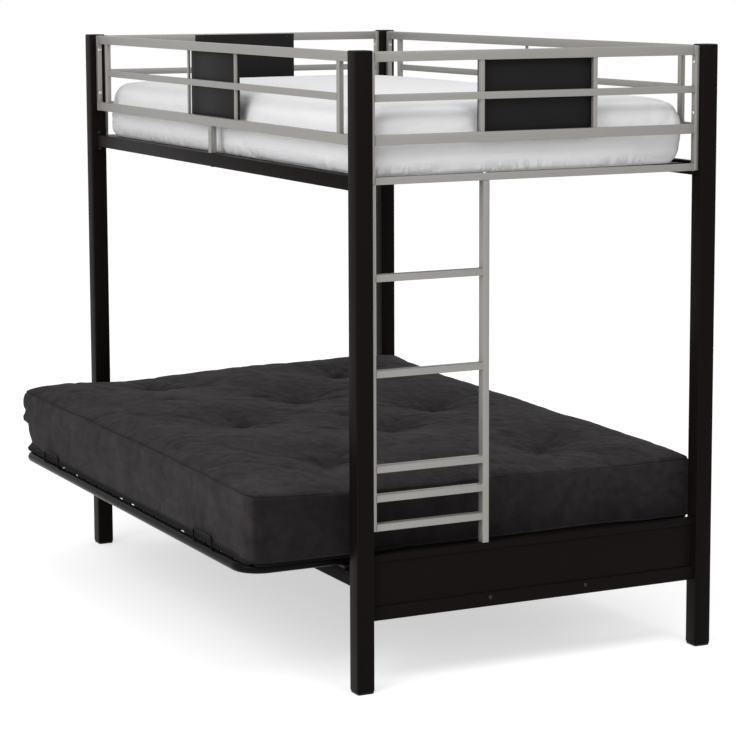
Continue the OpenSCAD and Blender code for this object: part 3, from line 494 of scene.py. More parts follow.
@dataclass(frozen=True)
class Cotton(Finish):
    """White cotton with a plain weave, faint creases, and gathers above its lower edge, with
    painted shade in the creases, the gathers and along that edge.
    """

    thread_scale: float = 1300.0
    thread_depth: float = 0.00012
    crease_scale: float = 26.0
    crease_depth: float = 0.0014
    dark_share: float = 0.95
    light_share: float = 1.04
    gather_scale: float = 34.0
    gather_shade_share: float = 0.7
    gather_shade_part: float = 0.8
    gather_depth_share: float = 1.6
    bottom_shade_share: float = 0.4
    roughness: float = 0.85
    gloss: float = 0.2
    sheen: float = 0.1

    def threads(self, graph: Graph, place: Signal, way: str) -> Signal:
        """Return the threads that lie along one axis."""
        settings = {"wave_type": "BANDS", "bands_direction": way}
        wave = {"Scale": self.thread_scale / 6.0, "Distortion": 1.2, "Detail": 1.0}
        return graph.out(graph.add("ShaderNodeTexWave", settings, {"Vector": place, **wave}), "Fac")

    def shade(self, graph: Graph) -> bpy.types.Node:
        """Return the cotton's shader."""
        place = graph.sewn_place()
        warp = [self.threads(graph, place, way) for way in "XYZ"]
        weave = (warp[0] + warp[1] + warp[2]) / 3.0
        crossed = graph.stretched(place, (0.6, 1.0, 1.6))
        crease = graph.grain(crossed, self.crease_scale, 4.0, 1.2)
        dark, light = self.scaled(self.dark_share), self.scaled(self.light_share)
        # The tone follows the weave, and the creases' height too: painted shade in their valleys
        tone = graph.blend(weave * 0.5 + crease * 0.5, dark, light)
        share = graph.attribute("band_height")
        upright = graph.stretched(place, (1.0, 1.0, 0.16))
        pleats = graph.grain(upright, self.gather_scale, 2.0, 0.8)
        folds = graph.ramp(pleats, (0.4, 0.0), (0.5, 1.0), (0.6, 0.0))
        gathered = graph.ramp(graph.grain(place, 2.6, 1.0), (0.46, 0.0), (0.6, 1.0))
        gather = folds * gathered * graph.ramp(share, (0.02, 1.0), (0.2, 0.0))
        # Painted shade: darker just above the underside, along the band's foot
        bottom_shade = graph.ramp(share, (0.0, 0.6), (0.06, 0.0))
        tone = graph.blend(bottom_shade, tone, self.scaled(self.bottom_shade_share))
        # Painted shade in the gathers' folds, besides their bump
        tone = graph.blend(gather * self.gather_shade_part, tone, self.scaled(self.gather_shade_share))
        broad = graph.relief(crease - self.gather_depth_share * gather, self.crease_depth)
        return graph.principled(
            {
                "Base Color": tone,
                "Roughness": self.roughness + 0.1 * crease,
                "Specular IOR Level": self.gloss,
                "Sheen Weight": self.sheen,
                "Normal": graph.relief(weave, self.thread_depth, broad),
            }
        )


@dataclass(frozen=True)
class StudioFloor(Finish):
    """The white floor: it keeps shadows, and shows as white where nothing shades it."""

    glow: float = 0.545
    dark_share: float = 0.99

    def shade(self, graph: Graph) -> bpy.types.Node:
        """Return the floor's shader."""
        cloud = graph.grain(graph.rest_place(), 2.0, 3.0)
        tone = graph.blend(cloud, self.scaled(self.dark_share), self.colour)
        matt = graph.add("ShaderNodeBsdfDiffuse", None, {"Color": tone})
        lit = {"Strength": graph.plain_view() * self.glow}
        glow = graph.add("ShaderNodeEmission", None, lit)
        return graph.add("ShaderNodeAddShader", None, {0: graph.out(matt), 1: graph.out(glow)})


BLACK_PAINT = PaintedSteel(
    "black_powder_coat", Slot.BLACK, (0.0058, 0.0044, 0.0039), roughness=0.38, gloss=0.024
)
FUTON_PAINT = PaintedSteel(
    "futon_frame_coat", Slot.BLACK, (0.0052, 0.0048, 0.0045), roughness=0.25, gloss=0.035
)
PANEL_PAINT = PaintedSteel(
    "panel_powder_coat",
    Slot.PANEL,
    (0.0108, 0.0099, 0.01),
    roughness=0.5,
    gloss=0.06,
    peel_scale=900.0,
)
SILVER_PAINT = PaintedSteel(
    "silver_powder_coat",
    Slot.SILVER,
    (0.29, 0.279, 0.262),
    roughness=0.45,
    gloss=0.2,
    metal=0.5,
    clouding=0.05,
    # Lighter edges: painted highlight on the rounded edges
    edge_highlight_share=1.12,
)
BLACK_PLASTIC = MouldedPlastic("moulded_black_plastic", Slot.PLASTIC, (0.011, 0.011, 0.011))
BLACK_ZINC = PaintedSteel(
    "black_plated_fastener", Slot.FASTENER, (0.01, 0.01, 0.0105), roughness=0.3, gloss=0.3
)
ZINC = PlatedSteel("zinc_plated_steel", Slot.ZINC, (0.58, 0.58, 0.57))
WHITE_COTTON = Cotton("white_cotton_cover", Slot.COTTON, (0.87, 0.87, 0.885))
# The cover carries painted shade on its end bands and below its lower seam
CHARCOAL_SUEDE = Suede("charcoal_suede_cover", Slot.SUEDE, (0.0232, 0.0196, 0.0217), painted_shade=True)
PIPING_SUEDE = Suede("charcoal_suede_piping", Slot.SUEDE, (0.012, 0.0103, 0.0112))
STUDIO_WHITE = StudioFloor("studio_floor_white", Slot.COTTON, (0.78, 0.78, 0.78))


# Shapes


def rounded_outline(half_a: float, half_b: float, radius: float, steps: int) -> list[Vector]:
    """Draw a rectangle with round corners.

    Args:
        half_a: Half its first side.
        half_b: Half its second side.
        radius: Radius of the corners.
        steps: Edges in each corner.

    Returns:
        Its points in order, in two dimensions.
    """
    points = []
    for corner, (sa, sb) in enumerate(((1, 1), (-1, 1), (-1, -1), (1, -1))):
        for step in range(steps + 1):
            angle = math.radians(90 * (corner + step / steps))
            a = sa * (half_a - radius) + radius * math.cos(angle)
            b = sb * (half_b - radius) + radius * math.sin(angle)
            points.append(Vector((a, b)))
    return points


def arc(
    centre: Vector, start: Vector, normal: Vector, degrees: float, steps: int
) -> list[Vector]:
    """Draw points round a centre.

    Args:
        centre: The arc's centre.
        start: From the centre to the first point.
        normal: Axis that the arc turns about.
        degrees: Angle of the arc.
        steps: Number of edges.

    Returns:
        The points.
    """
    angles = [math.radians(degrees * i / steps) for i in range(steps + 1)]
    return [centre + Matrix.Rotation(angle, 3, normal) @ start for angle in angles]


def hexagon(angle: float) -> float:
    """Return how far out a hexagon's side lies at an angle, as a share of its inner circle."""
    sixth = math.pi / 6
    return 1 / math.cos((angle + sixth) % (2 * sixth) - sixth)


def link(obj: bpy.types.Object) -> None:
    """Put an object into the scene."""
    bpy.context.scene.collection.objects.link(obj)


class Form:
    """A mesh under construction, made of closed shapes that touch or overlap.

    A face with an edge shorter than FLAT_FROM belongs to a rounding and is shaded smooth.
    HEAD is a fastener's profile as shares of its height and radius; its last RECESS points
    lie in the recess.
    """

    FLAT_FROM = 0.005
    WELD_STEP = 0.0035
    SHARP_EDGE = 50.0
    HEAD = (
        (0.0, 0.94), (0.12, 1.0), (0.4, 0.97), (0.75, 0.84), (1.0, 0.6), (1.0, 0.46), (0.42, 0.44)
    )
    RECESS = 2

    def __init__(self) -> None:
        """Start empty."""
        self.mesh = bmesh.new()

    def skin(self, rings: Sequence[Sequence[Vector]], looped: bool = False) -> None:
        """Join rings of points into a closed skin.

        Args:
            rings: The rings, each with as many points.
            looped: True if the last ring meets the first.
        """
        rows = [[self.mesh.verts.new(point) for point in ring] for ring in rings]
        count = len(rows[0])
        follow = list(zip(rows, rows[1:])) + ([(rows[-1], rows[0])] if looped else [])
        for lower, upper in follow:
            for i in range(count):
                j = (i + 1) % count
                face = self.mesh.faces.new((lower[i], lower[j], upper[j], upper[i]))
                face.smooth = min(e.calc_length() for e in face.edges) < self.FLAT_FROM
        if not looped:
            self.mesh.faces.new(rows[0][::-1])
            self.mesh.faces.new(rows[-1])

    def bar(
        self, one: Sequence[float], other: Sequence[float], ease: float = 0.0012, steps: int = 2
    ) -> None:
        """Add a straight bar with eased edges.

        Args:
            one: One of its corners.
            other: The opposite corner.
            ease: Radius of its edges.
            steps: Edges across each rounding.
        """
        low = Vector([min(pair) for pair in zip(one, other)])
        high = Vector([max(pair) for pair in zip(one, other)])
        size = high - low
        run = max(range(3), key=lambda axis: size[axis])
        first, second = (run + 1) % 3, (run + 2) % 3
        ease = min(ease, 0.45 * min(size))
        centre = (low + high) / 2
        ends = [
            (ease * (1 - math.sin(a)), ease * (1 - math.cos(a)))
            for a in (math.pi / 2 * i / steps for i in range(steps + 1))
        ]
        rings = []
        for end in SIDES:
            for inset, back in ends if end < 0 else ends[::-1]:
                outline = rounded_outline(
                    size[first] / 2 - inset,
                    size[second] / 2 - inset,
                    max(ease - inset, 0.12 * ease),
                    steps,
                )
                ring = []
                for a, b in outline:
                    point = centre.copy()
                    point[first] += a
                    point[second] += b
                    point[run] += end * (size[run] / 2 - back)
                    ring.append(point)
                rings.append(ring)
        self.skin(rings)

    def lathe(
        self,
        foot: Sequence[float],
        direction: Sequence[float],
        profile: Sequence[Pair],
        sides: int = 24,
        shape: Callable[[float, float], float] | None = None,
    ) -> None:
        """Add a turned shape.

        Args:
            foot: The point where its axis starts.
            direction: The axis.
            profile: Pairs of height along the axis and radius.
            sides: Points round the axis.
            shape: Gives the radius from a profile's number and an angle, if it isn't round.
        """
        axes = Vector(direction).to_track_quat("Z", "Y").to_matrix()
        rings = []
        for number, (height, radius) in enumerate(profile):
            ring = []
            for i in range(sides):
                angle = 2 * math.pi * i / sides
                reach = radius * (shape(number, angle) if shape else 1.0)
                local = Vector((reach * math.cos(angle), reach * math.sin(angle), height))
                ring.append(Vector(foot) + axes @ local)
            rings.append(ring)
        self.skin(rings)

    def tube(
        self,
        path: Sequence[Vector],
        radius: float,
        sides: int = 20,
        looped: bool = False,
        ease: float = 0.0,
        swell: Callable[[int], float] | None = None,
    ) -> None:
        """Sweep a round section along a path.

        Args:
            path: The points of its middle line.
            radius: Radius of the section.
            sides: Points round it.
            looped: True if the path is closed.
            ease: Chamfer at its two ends.
            swell: Gives the radius share at a point's number.
        """
        points = [Vector(p) for p in path]
        if ease and not looped:
            for at, near in ((0, 1), (-1, -2)):
                inner = points[at] + (points[near] - points[at]).normalized() * ease
                points.insert(1 if at == 0 else len(points) - 1, inner)
        count = len(points)
        rings: list[list[Vector]] = []
        side = None
        for i, point in enumerate(points):
            before = points[i - 1] if looped or i else point
            after = points[(i + 1) % count] if looped or i < count - 1 else point
            along = (after - before).normalized()
            if side is None:
                side = along.orthogonal()
            side = (side - along * side.dot(along)).normalized()
            other = along.cross(side)
            reach = radius * (swell(i) if swell else 1.0)
            if ease and not looped and i in (0, count - 1):
                reach -= ease
            rings.append(
                [
                    point
                    + side * (reach * math.cos(2 * math.pi * k / sides))
                    + other * (reach * math.sin(2 * math.pi * k / sides))
                    for k in range(sides)
                ]
            )
        self.skin(rings, looped)

    def weld(
        self, centre: Sequence[float], run: int, half: Sequence[float], bead: float = 0.0013
    ) -> None:
        """Lay a rippled weld bead round the end of a rectangular bar.

        Args:
            centre: Middle of the joint.
            run: Number of the axis that the bar runs along.
            half: Half the bar's sizes along the next two axes.
            bead: Radius of the bead.
        """
        first, second = (run + 1) % 3, (run + 2) % 3
        outline = rounded_outline(half[0], half[1], 0.0015, 1)
        path: list[Vector] = []
        for start, end in zip(outline, outline[1:] + outline[:1]):
            pieces = max(1, round((end - start).length / self.WELD_STEP))
            for step in range(pieces):
                a, b = start.lerp(end, step / pieces)
                point = Vector(centre)
                point[first] += a
                point[second] += b
                path.append(point)
        self.tube(path, bead, 5, looped=True, swell=lambda i: 0.88 + 0.18 * (i % 2))

    def weld_in(
        self,
        one: Sequence[float],
        other: Sequence[float],
        run: int,
        ease: float,
        bite: float,
        bead: float = 0.0013,
    ) -> None:
        """Add a bar that is welded to what lies at both its ends.

        Args:
            one: One corner of the gap that it fills.
            other: The opposite corner.
            run: Number of the axis that the bar runs along.
            ease: Radius of its edges.
            bite: How far it runs into the welds.
            bead: Radius of the beads.
        """
        low = Vector([min(pair) for pair in zip(one, other)])
        high = Vector([max(pair) for pair in zip(one, other)])
        past = Vector([bite if axis == run else 0 for axis in range(3)])
        self.bar(low - past, high + past, ease)
        half = (high - low) / 2
        for end in SIDES:
            place = (low + high) / 2
            place[run] += end * half[run]
            self.weld(place, run, (half[(run + 1) % 3], half[(run + 2) % 3]), bead)

    def fastener(
        self,
        seat: Sequence[float],
        direction: Sequence[float],
        radius: float,
        height: float,
        drive: Drive = Drive.HEX,
    ) -> None:
        """Add the head of a bolt or screw with its recess.

        Args:
            seat: Middle of the face that the head sits on.
            direction: Where the head points.
            radius: The head's radius.
            height: The head's height.
            drive: The recess in it.
        """
        profile = [(up * height, out * radius) for up, out in self.HEAD]

        def recess(number: int, angle: float) -> float:
            """Return the share of the radius at an angle, lower in the corners of a recess."""
            if number < len(profile) - self.RECESS:
                return 1.0
            if drive is Drive.HEX:
                return 0.9 * hexagon(angle)
            return 0.5 + 0.6 * abs(math.cos(2 * angle)) ** 3

        self.lathe(seat, direction, profile, 24, recess)

    def copy_node(self, node: str, ease: float) -> None:
        """Add a CAD node's own shape with its edges eased.

        Args:
            node: The node's name.
            ease: Width of the eased edges.
        """
        part = bmesh.new()
        part.from_mesh(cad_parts[node].data)
        bmesh.ops.remove_doubles(part, verts=part.verts, dist=1e-5)
        bmesh.ops.dissolve_limit(
            part, angle_limit=math.radians(1), verts=part.verts, edges=part.edges
        )
        limit = math.radians(self.SHARP_EDGE)
        folds = [edge for edge in part.edges if len(edge.link_faces) == 2]
        bmesh.ops.bevel(
            part,
            geom=[edge for edge in folds if edge.calc_face_angle() > limit],
            offset=ease,
            segments=1,
            profile=0.5,
            affect="EDGES",
            clamp_overlap=True,
        )
        for face in part.faces:
            face.smooth = min(e.calc_length() for e in face.edges) < self.FLAT_FROM
        copy = bpy.data.meshes.new("eased_copy")
        part.to_mesh(copy)
        part.free()
        self.mesh.from_mesh(copy)
        bpy.data.meshes.remove(copy)

    def piece(
        self, name: str, body: Body, finish: Finish, nodes: Iterable[str] = ()
    ) -> bpy.types.Object:
        """Close the form and make an object of it.

        Args:
            name: The piece's name.
            body: The CAD body that it rides on.
            finish: Its finish.
            nodes: CAD nodes that it stands for.

        Returns:
            The object.
        """
        bmesh.ops.recalc_face_normals(self.mesh, faces=self.mesh.faces)
        data = bpy.data.meshes.new(name)
        self.mesh.to_mesh(data)
        self.mesh.free()
        data.set_sharp_from_angle(angle=math.radians(40))
        return place_piece(name, data, body, finish, nodes)


def place_piece(
    name: str,
    data: bpy.types.Mesh,
    body: Body | None,
    finish: Finish,
    nodes: Iterable[str] = (),
) -> bpy.types.Object:
    """Put a mesh into the scene as a piece.

    Args:
        name: The piece's name.
        data: Its mesh, in the frame's coordinates.
        body: The body that it rides on, or None for one that rides on no body.
        finish: Its finish.
        nodes: CAD nodes that it stands for.

    Returns:
        The object.
    """
    data.materials.clear()
    data.materials.append(finish.material())
    obj = bpy.data.objects.new(name, data)
    link(obj)
    if nodes:
        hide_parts(*nodes)
    if body:
        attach(obj, body.value)
    LOG.info("%s: %d faces on %s", name, len(data.polygons), body.value if body else "a joint")
    return obj


def sheet(node: str, ease: float, finish: Finish) -> None:
    """Build a flat panel of the fixed frame in the space that its CAD node holds."""
    panel = Form()
    panel.bar(*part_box(node), ease)
    panel.piece(node + "_sheet", Body.BUNK, finish, [node])


# The fixed frame


@dataclass(frozen=True)
class Bunk:
    """Sizes and heights that the fixed frame's pieces share.

    A name that ends in drop is a distance below the posts' tops. A bar's end runs into its
    weld by bite, and the names that end in ease are the radii of edges.
    """

    length: float = 1.994
    width: float = 1.098
    height: float = 1.677
    post: float = 0.05
    middle_y: float = 0.1395
    rail_t: float = 0.019
    rail_h: float = 0.026
    slim_h: float = 0.019
    upright: float = 0.013
    top_drop: float = 0.004
    mid_drop: float = 0.113
    low_drop: float = 0.217
    foot_drop: float = 0.325
    side_drop: float = 0.322
    side_h: float = 0.038
    side_t: float = 0.025
    plate_t: float = 0.003
    plate_w: float = 0.04
    plate_lip: float = 0.014
    bite: float = 0.0008
    black_bite: float = 0.0005
    post_gap: float = 0.0002
    plate_gap: float = 0.0001
    rail_ease: float = 0.0016
    upright_ease: float = 0.0014
    ladder_ease: float = 0.0018
    black_ease: float = 0.0022
    plate_ease: float = 0.0009
    small_bead: float = 0.0011
    black_bead: float = 0.0018
    bolt_r: float = 0.0055
    bolt_h: float = 0.003
    screw_r: float = 0.004
    screw_h: float = 0.002
    upper_bolt_drop: float = 0.049
    lower_bolt_drop: float = 0.187

    @property
    def post_x(self) -> float:
        """Distance of a post's middle from the bed's middle along X."""
        return self.length / 2 - self.post / 2

    @property
    def post_y(self) -> float:
        """Distance of a post's middle from the bed's middle along Y."""
        return self.width / 2 - self.post / 2

    @property
    def inner_x(self) -> float:
        """Distance of a post's inner face from the middle along X."""
        return self.length / 2 - self.post

    @property
    def inner_y(self) -> float:
        """Distance of a post's inner face from the middle along Y."""
        return self.width / 2 - self.post

    @property
    def rails(self) -> tuple[Pair, ...]:
        """Top and height of the top, middle, low and foot rails."""
        return (
            (self.height - self.top_drop, self.rail_h),
            (self.height - self.mid_drop, self.slim_h),
            (self.height - self.low_drop, self.rail_h),
            (self.height - self.foot_drop, self.slim_h),
        )

    @property
    def side_z(self) -> float:
        """Height of a side rail's underside."""
        return self.height - self.side_drop - self.side_h

    @property
    def guard_bolts(self) -> Pair:
        """Heights of the bolts that hold a guard or an end frame."""
        return (self.height - self.upper_bolt_drop, self.height - self.lower_bolt_drop)

    def plated_bar(self, side: int, low: float) -> Form:
        """Return a black bar along one side, with a plate welded to each end.

        Args:
            side: -1 for the front, 1 for the back.
            low: Height of its underside.
        """
        form, high = Form(), low + self.side_h
        y = self.middle_y + side * self.post_y
        half_t, end = self.side_t / 2, self.inner_x - self.plate_t
        half_w, bite = self.plate_w / 2, self.black_bite
        one, other = (-end, y - half_t, low), (end, y + half_t, high)
        form.weld_in(one, other, 0, self.black_ease, bite, self.black_bead)
        for sx in SIDES:
            form.bar(
                (sx * end, y - half_w, low - self.plate_lip),
                (sx * (self.inner_x - self.plate_gap), y + half_w, high + self.plate_lip),
                self.plate_ease,
            )
        return form


@dataclass
class Posts:
    """Four square posts with their moulded caps and foot glides.

    Levels are pairs of a height and an inset from the post's faces.
    """

    bunk: Bunk
    corner: float = 0.005
    corner_steps: int = 5
    cut: Pair = (0.0006, 0.0004)
    cap: tuple[Pair, ...] = (
        (0.0002, 0.0004), (0.0012, 0.0), (0.0022, 0.0006), (0.003, 0.003),
    )
    glide: tuple[Pair, ...] = (
        (0.0, 0.0037), (0.0008, 0.0021), (0.002, 0.0015), (0.0058, 0.0015), (0.0064, 0.0021),
        (0.007, 0.0021),
    )
    names: tuple[str, ...] = (
        "post_front_ladder",
        "post_front_far",
        "post_back_ladder",
        "post_back_far",
    )

    def stack(self, form: Form, centre: Vector, levels: Iterable[Pair]) -> None:
        """Add a stack of rounded squares round the post's middle, one for each level."""
        half = self.bunk.post / 2
        rings = []
        for z, inset in levels:
            outline = rounded_outline(half - inset, half - inset, self.corner, self.corner_steps)
            rings.append([Vector((centre.x + a, centre.y + b, z)) for a, b in outline])
        form.skin(rings)

    def build(self) -> None:
        """Build the posts, their caps and their glides."""
        caps, glides = Form(), Form()
        rise, inset = self.cut
        for name in self.names:
            lo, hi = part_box(name)
            centre = (lo + hi) / 2
            tube = Form()
            faces = [(lo.z, inset), (lo.z + rise, 0), (hi.z - rise, 0), (hi.z, inset)]
            self.stack(tube, centre, faces)
            tube.piece(name + "_tube", Body.BUNK, BLACK_PAINT, [name])
            self.stack(caps, centre, [(hi.z + z, inward) for z, inward in self.cap])
            self.stack(glides, centre, self.glide)
        caps.piece("post_caps_moulded", Body.BUNK, BLACK_PLASTIC, ["post_caps"])
        glides.piece("post_glides_moulded", Body.BUNK, BLACK_PLASTIC, ["post_glides"])


@dataclass
class EndFrame:
    """A welded silver frame between the posts of one end, with its dark panel."""

    bunk: Bunk
    side: int
    name: str
    panel_w: float = 0.356

    def at(self, x: float, y: float, z: float) -> Vector:
        """Return a point given from the middle of the end's post line."""
        return Vector((self.side * self.bunk.post_x + x, self.bunk.middle_y + y, z))

    def rail(self, form: Form, z: float, h: float) -> None:
        """Weld in a rail from upright to upright."""
        bunk = self.bunk
        half_t, end = bunk.rail_t / 2, bunk.inner_y - bunk.upright
        one, other = self.at(-half_t, -end, z - h), self.at(half_t, end, z)
        form.weld_in(one, other, 1, bunk.rail_ease, bunk.bite)

    def upright(self, form: Form, y: float, low: float, high: float) -> None:
        """Weld in a short upright beside the panel."""
        bunk, half = self.bunk, self.bunk.upright / 2
        one, other = self.at(-half, y - half, low), self.at(half, y + half, high)
        form.weld_in(one, other, 2, bunk.upright_ease, bunk.bite, bunk.small_bead)

    def build(self) -> None:
        """Build the frame and its panel."""
        bunk, form = self.bunk, Form()
        top, mid, low, foot = bunk.rails
        half_t, inner, outer = bunk.rail_t / 2, bunk.inner_y - bunk.upright, bunk.inner_y
        for sy in SIDES:
            form.bar(
                self.at(-half_t, sy * inner, foot[0] - foot[1]),
                self.at(half_t, sy * (outer - bunk.post_gap), top[0]),
                bunk.rail_ease,
            )
        for z, h in bunk.rails:
            self.rail(form, z, h)
        for sy in SIDES:
            y = sy * (self.panel_w / 2 - bunk.upright / 2)
            self.upright(form, y, mid[0], top[0] - top[1])
            self.upright(form, y, low[0], mid[0] - mid[1])
        node = self.name + "_frame"
        form.piece(node + "_welded", Body.BUNK, SILVER_PAINT, (node, self.name + "_uprights"))
        sheet(self.name + "_panel", bunk.plate_ease, PANEL_PAINT)


@dataclass
class Guard:
    """A silver guard along one long side of the upper bunk."""

    bunk: Bunk
    side: int
    node: str
    panel_w: float = 0.356
    upright_gap: float = 0.083
    thin: float = 0.008
    centre_post: float = 0.019

    def at(self, x: float, y: float, z: float) -> Vector:
        """Return a point given from the middle of the side's post line."""
        return Vector((x, self.bunk.middle_y + self.side * self.bunk.post_y + y, z))

    def upright(
        self, form: Form, x: float, half: Pair, low: float, high: float
    ) -> None:
        """Weld in an upright.

        Args:
            form: The form to add to.
            x: Its place along the bed.
            half: Half its sizes along X and Y.
            low: Height of its foot.
            high: Height of its top.
        """
        bunk = self.bunk
        one, other = self.at(x - half[0], -half[1], low), self.at(x + half[0], half[1], high)
        ease = min(bunk.upright_ease, 0.3 * half[0])
        form.weld_in(one, other, 2, ease, bunk.bite, bunk.small_bead)

    def rail(self, form: Form, end: float, z: float, h: float, half: float) -> None:
        """Weld in a rail.

        Args:
            form: The form to add to.
            end: How far it reaches from the middle.
            z: Height of its top.
            h: Its height.
            half: Half its thickness.
        """
        bunk = self.bunk
        one, other = self.at(-end, -half, z - h), self.at(end, half, z)
        form.weld_in(one, other, 0, bunk.rail_ease, bunk.bite)

    def build(self) -> None:
        """Build the guard."""
        bunk, form = self.bunk, Form()
        top, mid, low, _ = bunk.rails
        half_t, half_u, end = bunk.rail_t / 2, bunk.upright / 2, bunk.inner_x - bunk.rail_t
        for sx in SIDES:
            form.bar(
                self.at(sx * end, -half_u, low[0] - low[1]),
                self.at(sx * (bunk.inner_x - bunk.post_gap), half_u, top[0]),
                bunk.rail_ease,
            )
        for z, h in (top, low):
            self.rail(form, end, z, h, half_t)
        inner_x = bunk.inner_x - self.upright_gap - half_t
        for sx in SIDES:
            self.upright(form, sx * inner_x, (half_t, half_u), low[0], top[0] - top[1])
        self.rail(form, inner_x - half_t, *mid, half_u)
        thin = (self.thin / 2, self.thin / 2)
        places = [s * (self.panel_w - self.thin) / 2 for s in SIDES] if self.side < 0 else [0.0]
        for x in places:
            self.upright(form, x, thin, mid[0], top[0] - top[1])
            self.upright(form, x, thin, low[0], mid[0] - mid[1])
        half_c, under = self.centre_post / 2, low[0] - low[1]
        foot = bunk.side_z + bunk.side_h + bunk.post_gap
        form.bar(self.at(-half_c, -half_c, foot), self.at(half_c, half_c, under + bunk.bite))
        form.weld(self.at(0, 0, under), 2, (half_c, half_c))
        form.piece(self.node + "_welded", Body.BUNK, SILVER_PAINT, [self.node])


@dataclass
class UpperDeck:
    """The side rails with their ledges, and the slats that lie on them."""

    bunk: Bunk
    ledge_w: float = 0.022
    ledge_t: float = 0.002
    ledge_bite: float = 0.0006
    slat_drop: float = 0.006
    slat_count: int = 13
    slat_w: float = 0.03
    slat_h: float = 0.014
    slat_ease: float = 0.002
    gap: float = 0.0003

    def rail(self, side: int, node: str) -> None:
        """Build one side rail with its end plates and its ledge.

        Args:
            side: -1 for the front, 1 for the back.
            node: The rail's CAD node.
        """
        bunk = self.bunk
        form = bunk.plated_bar(side, bunk.side_z)
        face = bunk.middle_y + side * (bunk.post_y - bunk.side_t / 2)
        end = bunk.inner_x - bunk.plate_t
        top = bunk.side_z + bunk.side_h - self.slat_drop - self.slat_h - self.gap
        form.bar(
            (-end, face + side * self.ledge_bite, top - self.ledge_t),
            (end, face - side * self.ledge_w, top),
            self.ledge_bite,
        )
        form.piece(node + "_welded", Body.BUNK, BLACK_PAINT, [node])

    def build(self) -> None:
        """Build the rails and the slats."""
        self.rail(-1, "front_side_rail")
        self.rail(1, "back_side_rail")
        lo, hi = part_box("deck_slats")
        pitch = (hi.x - lo.x - self.slat_w) / (self.slat_count - 1)
        form = Form()
        for i in range(self.slat_count):
            x = lo.x + i * pitch
            form.bar((x, lo.y, lo.z), (x + self.slat_w, hi.y, hi.z), self.slat_ease)
        form.piece("deck_slats_pressed", Body.BUNK, BLACK_PAINT, ["deck_slats"])


@dataclass
class Ladder:
    """The ladder between a front post and its own stile."""

    bunk: Bunk
    width: float = 0.346
    stile: float = 0.019
    depth: float = 0.025
    rung_h: float = 0.019
    rise: float = 0.25
    low_rise: float = 0.077
    foot_z: float = 0.366

    @property
    def rungs(self) -> list[float]:
        """Heights of the rungs' middles."""
        step = self.bunk.rails[3][0] - self.bunk.slim_h / 2
        upper = [step - i * self.rise for i in (1, 2, 3)]
        return upper + [upper[-1] - i * self.low_rise for i in (1, 2)]

    def build(self) -> None:
        """Build the ladder."""
        bunk, form = self.bunk, Form()
        x, half, ease = bunk.post_x, self.depth / 2, bunk.ladder_ease
        start = bunk.middle_y - bunk.inner_y
        foot_rail = bunk.rails[3][0] - bunk.rails[3][1]
        inner, outer = start + self.width - self.stile, start + self.width
        foot = self.foot_z + bunk.post_gap
        form.bar((x - half, inner, foot), (x + half, outer, foot_rail), ease)
        near = start + bunk.upright
        bottom = self.rungs[-1] - self.rung_h / 2
        form.bar((x - half, start + bunk.post_gap, bottom), (x + half, near, foot_rail), ease)
        for z in self.rungs:
            low = z - self.rung_h / 2
            one, other = (x - half, near, low), (x + half, inner, low + self.rung_h)
            form.weld_in(one, other, 1, ease, bunk.bite)
        nodes = ("ladder_stiles", "ladder_rungs")
        form.piece("ladder_welded", Body.BUNK, SILVER_PAINT, nodes)


@dataclass
class LowerFrame:
    """The lower end frames with their sheet panels, and the stretchers between them."""

    bunk: Bunk
    top_z: float = 0.366
    bottom_z: float = 0.191
    tube_h: float = 0.038
    cap_h: float = 0.019
    depth: float = 0.025
    stretcher_z: float = 0.277
    sheet_ease: float = 0.0004
    pad_ease: float = 0.0015

    def end(self, side: int, end_name: str) -> None:
        """Build one end frame and its panel.

        Args:
            side: 1 for the ladder end, -1 for the far end.
            end_name: The last word of the end's node names.
        """
        bunk, form = self.bunk, Form()
        x, half, mid = side * bunk.post_x, self.depth / 2, bunk.middle_y
        reach = bunk.inner_y - bunk.plate_t
        for low, high in (
            (self.bottom_z, self.bottom_z + self.tube_h),
            (self.top_z - self.cap_h, self.top_z),
        ):
            one, other = (x - half, mid - reach, low), (x + half, mid + reach, high)
            form.weld_in(one, other, 1, bunk.black_ease, bunk.black_bite)
        for sy in SIDES:
            form.bar(
                (x - half, mid + sy * reach, self.bottom_z),
                (x + half, mid + sy * (bunk.inner_y - bunk.plate_gap), self.top_z),
                bunk.plate_ease,
            )
        node = "lower_end_frame_" + end_name
        form.piece(node + "_welded", Body.BUNK, BLACK_PAINT, [node])
        sheet("kick_panel_" + end_name, self.sheet_ease, BLACK_PAINT)

    def build(self) -> None:
        """Build both ends, both stretchers and the pads on them."""
        for side, end in ENDS:
            self.end(side, end)
        for side, node in ((-1, "front_stretcher"), (1, "back_stretcher")):
            form = self.bunk.plated_bar(side, self.stretcher_z)
            form.piece(node + "_welded", Body.BUNK, BLACK_PAINT, [node])
        pads = Form()
        pads.copy_node("stretcher_glides", self.pad_ease)
        pads.piece("stretcher_glides_moulded", Body.BUNK, BLACK_PLASTIC, ["stretcher_glides"])


